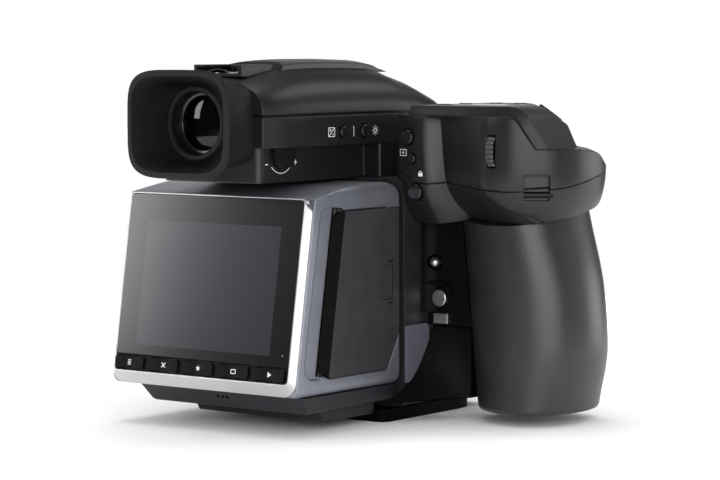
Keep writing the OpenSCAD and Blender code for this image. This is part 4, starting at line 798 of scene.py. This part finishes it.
def turned(name, body, profile, at, axis, finish):
    shape = bmesh.new()
    points = [shape.verts.new((r * MM, 0, h * MM)) for r, h in profile]
    edges = [shape.edges.new(pair) for pair in zip(points, points[1:])]
    bmesh.ops.spin(shape, geom=points + edges, axis=(0, 0, 1), cent=(0, 0, 0), angle=2 * pi,
                   steps=LATHE_STEPS)
    bmesh.ops.remove_doubles(shape, verts=shape.verts, dist=LATHE_WELD_MM * MM)
    bmesh.ops.recalc_face_normals(shape, faces=shape.faces[:])
    shape.transform(Matrix.Translation(at) @ axis.to_track_quat("Z", "Y").to_matrix().to_4x4())
    soften(placed(name, shape, body, finish), 0)


print("one lathe step is", 360 / LATHE_STEPS, "degrees")

# %% [markdown]
# ## Screws
# Six screws hold the bayonet, four the front plate and two the cover under the sensor unit. Their heads are
# let into the surface, with a rounded rim and a socket in the middle.

# %% Screw heads
BAYONET_SCREWS = 6
BAYONET_SCREW_R = 34.2
BAYONET_FIRST = 30
# How far the other screws stand in from the edges of the plate and of the cover.
PLATE_IN = 3.9
PLATE_UP = 4.4
PLATE_DOWN = 5.0
COVER_IN = 5.5
COVER_FORE = 8
COVER_STEP = 4.2


# Radius and height of each point: from under the head, up its rim and down into the socket.
def screw_head(r):
    return [(0, -0.35), (r, -0.35), (r, 0.08), (r - 0.1, 0.16), (0.55 * r, 0.18), (0.45 * r, -0.2),
            (0, -0.25)]


ring = middle("lens_mount_ring")
ring.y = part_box("lens_mount_ring")[1].y
for k in range(BAYONET_SCREWS):
    t = radians(BAYONET_FIRST + 360 / BAYONET_SCREWS * k)
    at = ring + mm(BAYONET_SCREW_R * cos(t), 0, BAYONET_SCREW_R * sin(t))
    turned("bayonet_screw_%d" % k, "camera_body", screw_head(1.4), at, FORE, "turned_steel")

low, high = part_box("front_plate")
left, right = low.x + PLATE_IN * MM, high.x - PLATE_IN * MM
bottom, top = low.z + PLATE_UP * MM, high.z - PLATE_DOWN * MM
for k, (x, z) in enumerate(((left, bottom), (right, bottom), (right, top), (left, top))):
    at = Vector((x, high.y, z))
    turned("plate_screw_%d" % k, "camera_body", screw_head(1.6), at, FORE, "dark_chrome")

low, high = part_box("back_lower_cover")
for k, x in enumerate((low.x + COVER_IN * MM, high.x - COVER_IN * MM)):
    at = Vector((x, low.y + COVER_FORE * MM, low.z + COVER_STEP * MM))
    turned("cover_screw_%d" % k, "sensor_unit", screw_head(1.5), at, -UP, "dark_chrome")

# %% [markdown]
# ## Contacts, bead and keeper
# The accessory shoe has one large and three small plated contacts. Inside the eyecup a rubber bead hides the
# edge of the eyepiece, and a thin ring keeps its lens.

# %% Contacts in the shoe, rings in the eyecup
SHOE_FLOOR = 1.2
SHOE_AT = middle("hot_shoe")
SHOE_AT.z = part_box("hot_shoe")[0].z + SHOE_FLOOR * MM
# Place across and along the shoe, and radius.
SHOE_CONTACTS = ((0, -0.5, 2.0), (-4.3, 3.7, 1.0), (4.3, 3.7, 1.0), (-4.3, -4.0, 1.0))
BEAD_STEPS = 12
BEAD_R = 1.5
BEAD_RING_R = 12.4
BEAD_OUT = 6.9
for k, (x, y, r) in enumerate(SHOE_CONTACTS):
    profile = [(0, -0.2), (r, -0.2), (r, 0.12), (r - 0.2, 0.25), (0, 0.25)]
    turned("shoe_contact_%d" % k, "finder", profile, SHOE_AT + mm(x, y, 0), UP, "turned_steel")

turns = [2 * pi * k / BEAD_STEPS for k in range(BEAD_STEPS + 1)]
bead = [(BEAD_RING_R + BEAD_R * cos(t), BEAD_OUT + BEAD_R * sin(t)) for t in turns]
turned("eyecup_bead", "finder", bead, EYE_AT, -FORE, "eyecup_rubber")
keeper = [(9.6, 3.1), (11.7, 3.1), (11.7, 3.6), (10.6, 3.8), (9.8, 3.5), (9.6, 3.1)]
turned("lens_keeper", "finder", keeper, EYE_AT, -FORE, "button_abs")
print(len(SHOE_CONTACTS), "contacts, a bead and a keeper")

# %% [markdown]
# ## Port flap
# The side that the picture hides has what such cameras have there: a rubber flap over the sockets of the
# sensor unit, with a lip to pull it by. Both are sheets cut to a rounded outline, so one function raises a
# sheet from its outline.

# %% Sheets with a rounded outline
LEFT_WALL = Vector((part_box("back_housing")[0].x, 0, 0))
FLAP_AT = LEFT_WALL + mm(0, -58, 51)
PULL_AT = LEFT_WALL + mm(0, -72, 51)


def plate(name, outline, centre, low, high, edge):
    right = -FORE
    out = right.cross(UP)
    shape = bmesh.new()
    corners = [shape.verts.new(centre + (right * u + UP * v + out * low) * MM) for u, v in outline]
    raised(shape, [shape.faces.new(corners)], out * (high - low) * MM)
    soften(placed(name, shape, "sensor_unit", "silicone_key"), edge)


plate("port_flap", soft_rect(16, 21, 4), FLAP_AT, low=-0.2, high=0.5, edge=0.25)
plate("flap_pull", soft_rect(1.6, 5, 1.2), PULL_AT, low=0.3, high=0.9, edge=0.2)
print("flap and pull placed")

# %% [markdown]
# ## Shoe springs
# Under each lip of the accessory shoe lies a steel strip with a bow in it, which presses a foot upwards so
# that it doesn't rattle. The bow is a squared sine, flat at both ends.

# %% Strips with a bow
SPRING_X = 7.9
SPRING_WIDE = 2.2
SPRING_RISE = 1.2
SPRING_THICK = 0.25
SPRING_REAR = -8.4
SPRING_LONG = 15.8
SPRING_UP = 0.1
SPRING_STEPS = 12


def spring_strip(name, x):
    shape = bmesh.new()
    rows = []
    for k in range(SPRING_STEPS + 1):
        t = k / SPRING_STEPS
        along = SHOE_AT + mm(x, SPRING_REAR + SPRING_LONG * t, SPRING_UP + SPRING_RISE * sin(pi * t) ** 2)
        rows.append([shape.verts.new(along + ACROSS * side * SPRING_WIDE / 2 * MM) for side in (-1, 1)])
    for low, high in zip(rows, rows[1:]):
        shape.faces.new((low[0], low[1], high[1], high[0]))
    raised(shape, shape.faces[:], UP * SPRING_THICK * MM)
    soften(placed(name, shape, "finder", "turned_steel"), 0)


spring_strip("shoe_spring_right", SPRING_X)
spring_strip("shoe_spring_left", -SPRING_X)
print("springs", SPRING_LONG, "mm long")

# %% [markdown]
# ## Status lamp
# A small lamp sits behind a clear dot in the black print of the screen glass. It is off in the picture, so
# the dot is only a dim grey, and it is printed on the glass like a sign.

# %% A dim dot in the glass
LAMP_AT = on_screen(36.8, -22.2)
LAMP_R = 0.42
lamp_dot = [round_points(LAMP_R, steps=16)]
printed("status_lamp", "screen_glass", "sensor_unit", lamp_dot, LAMP_AT, ACROSS, SCREEN_UP, "grey_paint")
print("status lamp placed")
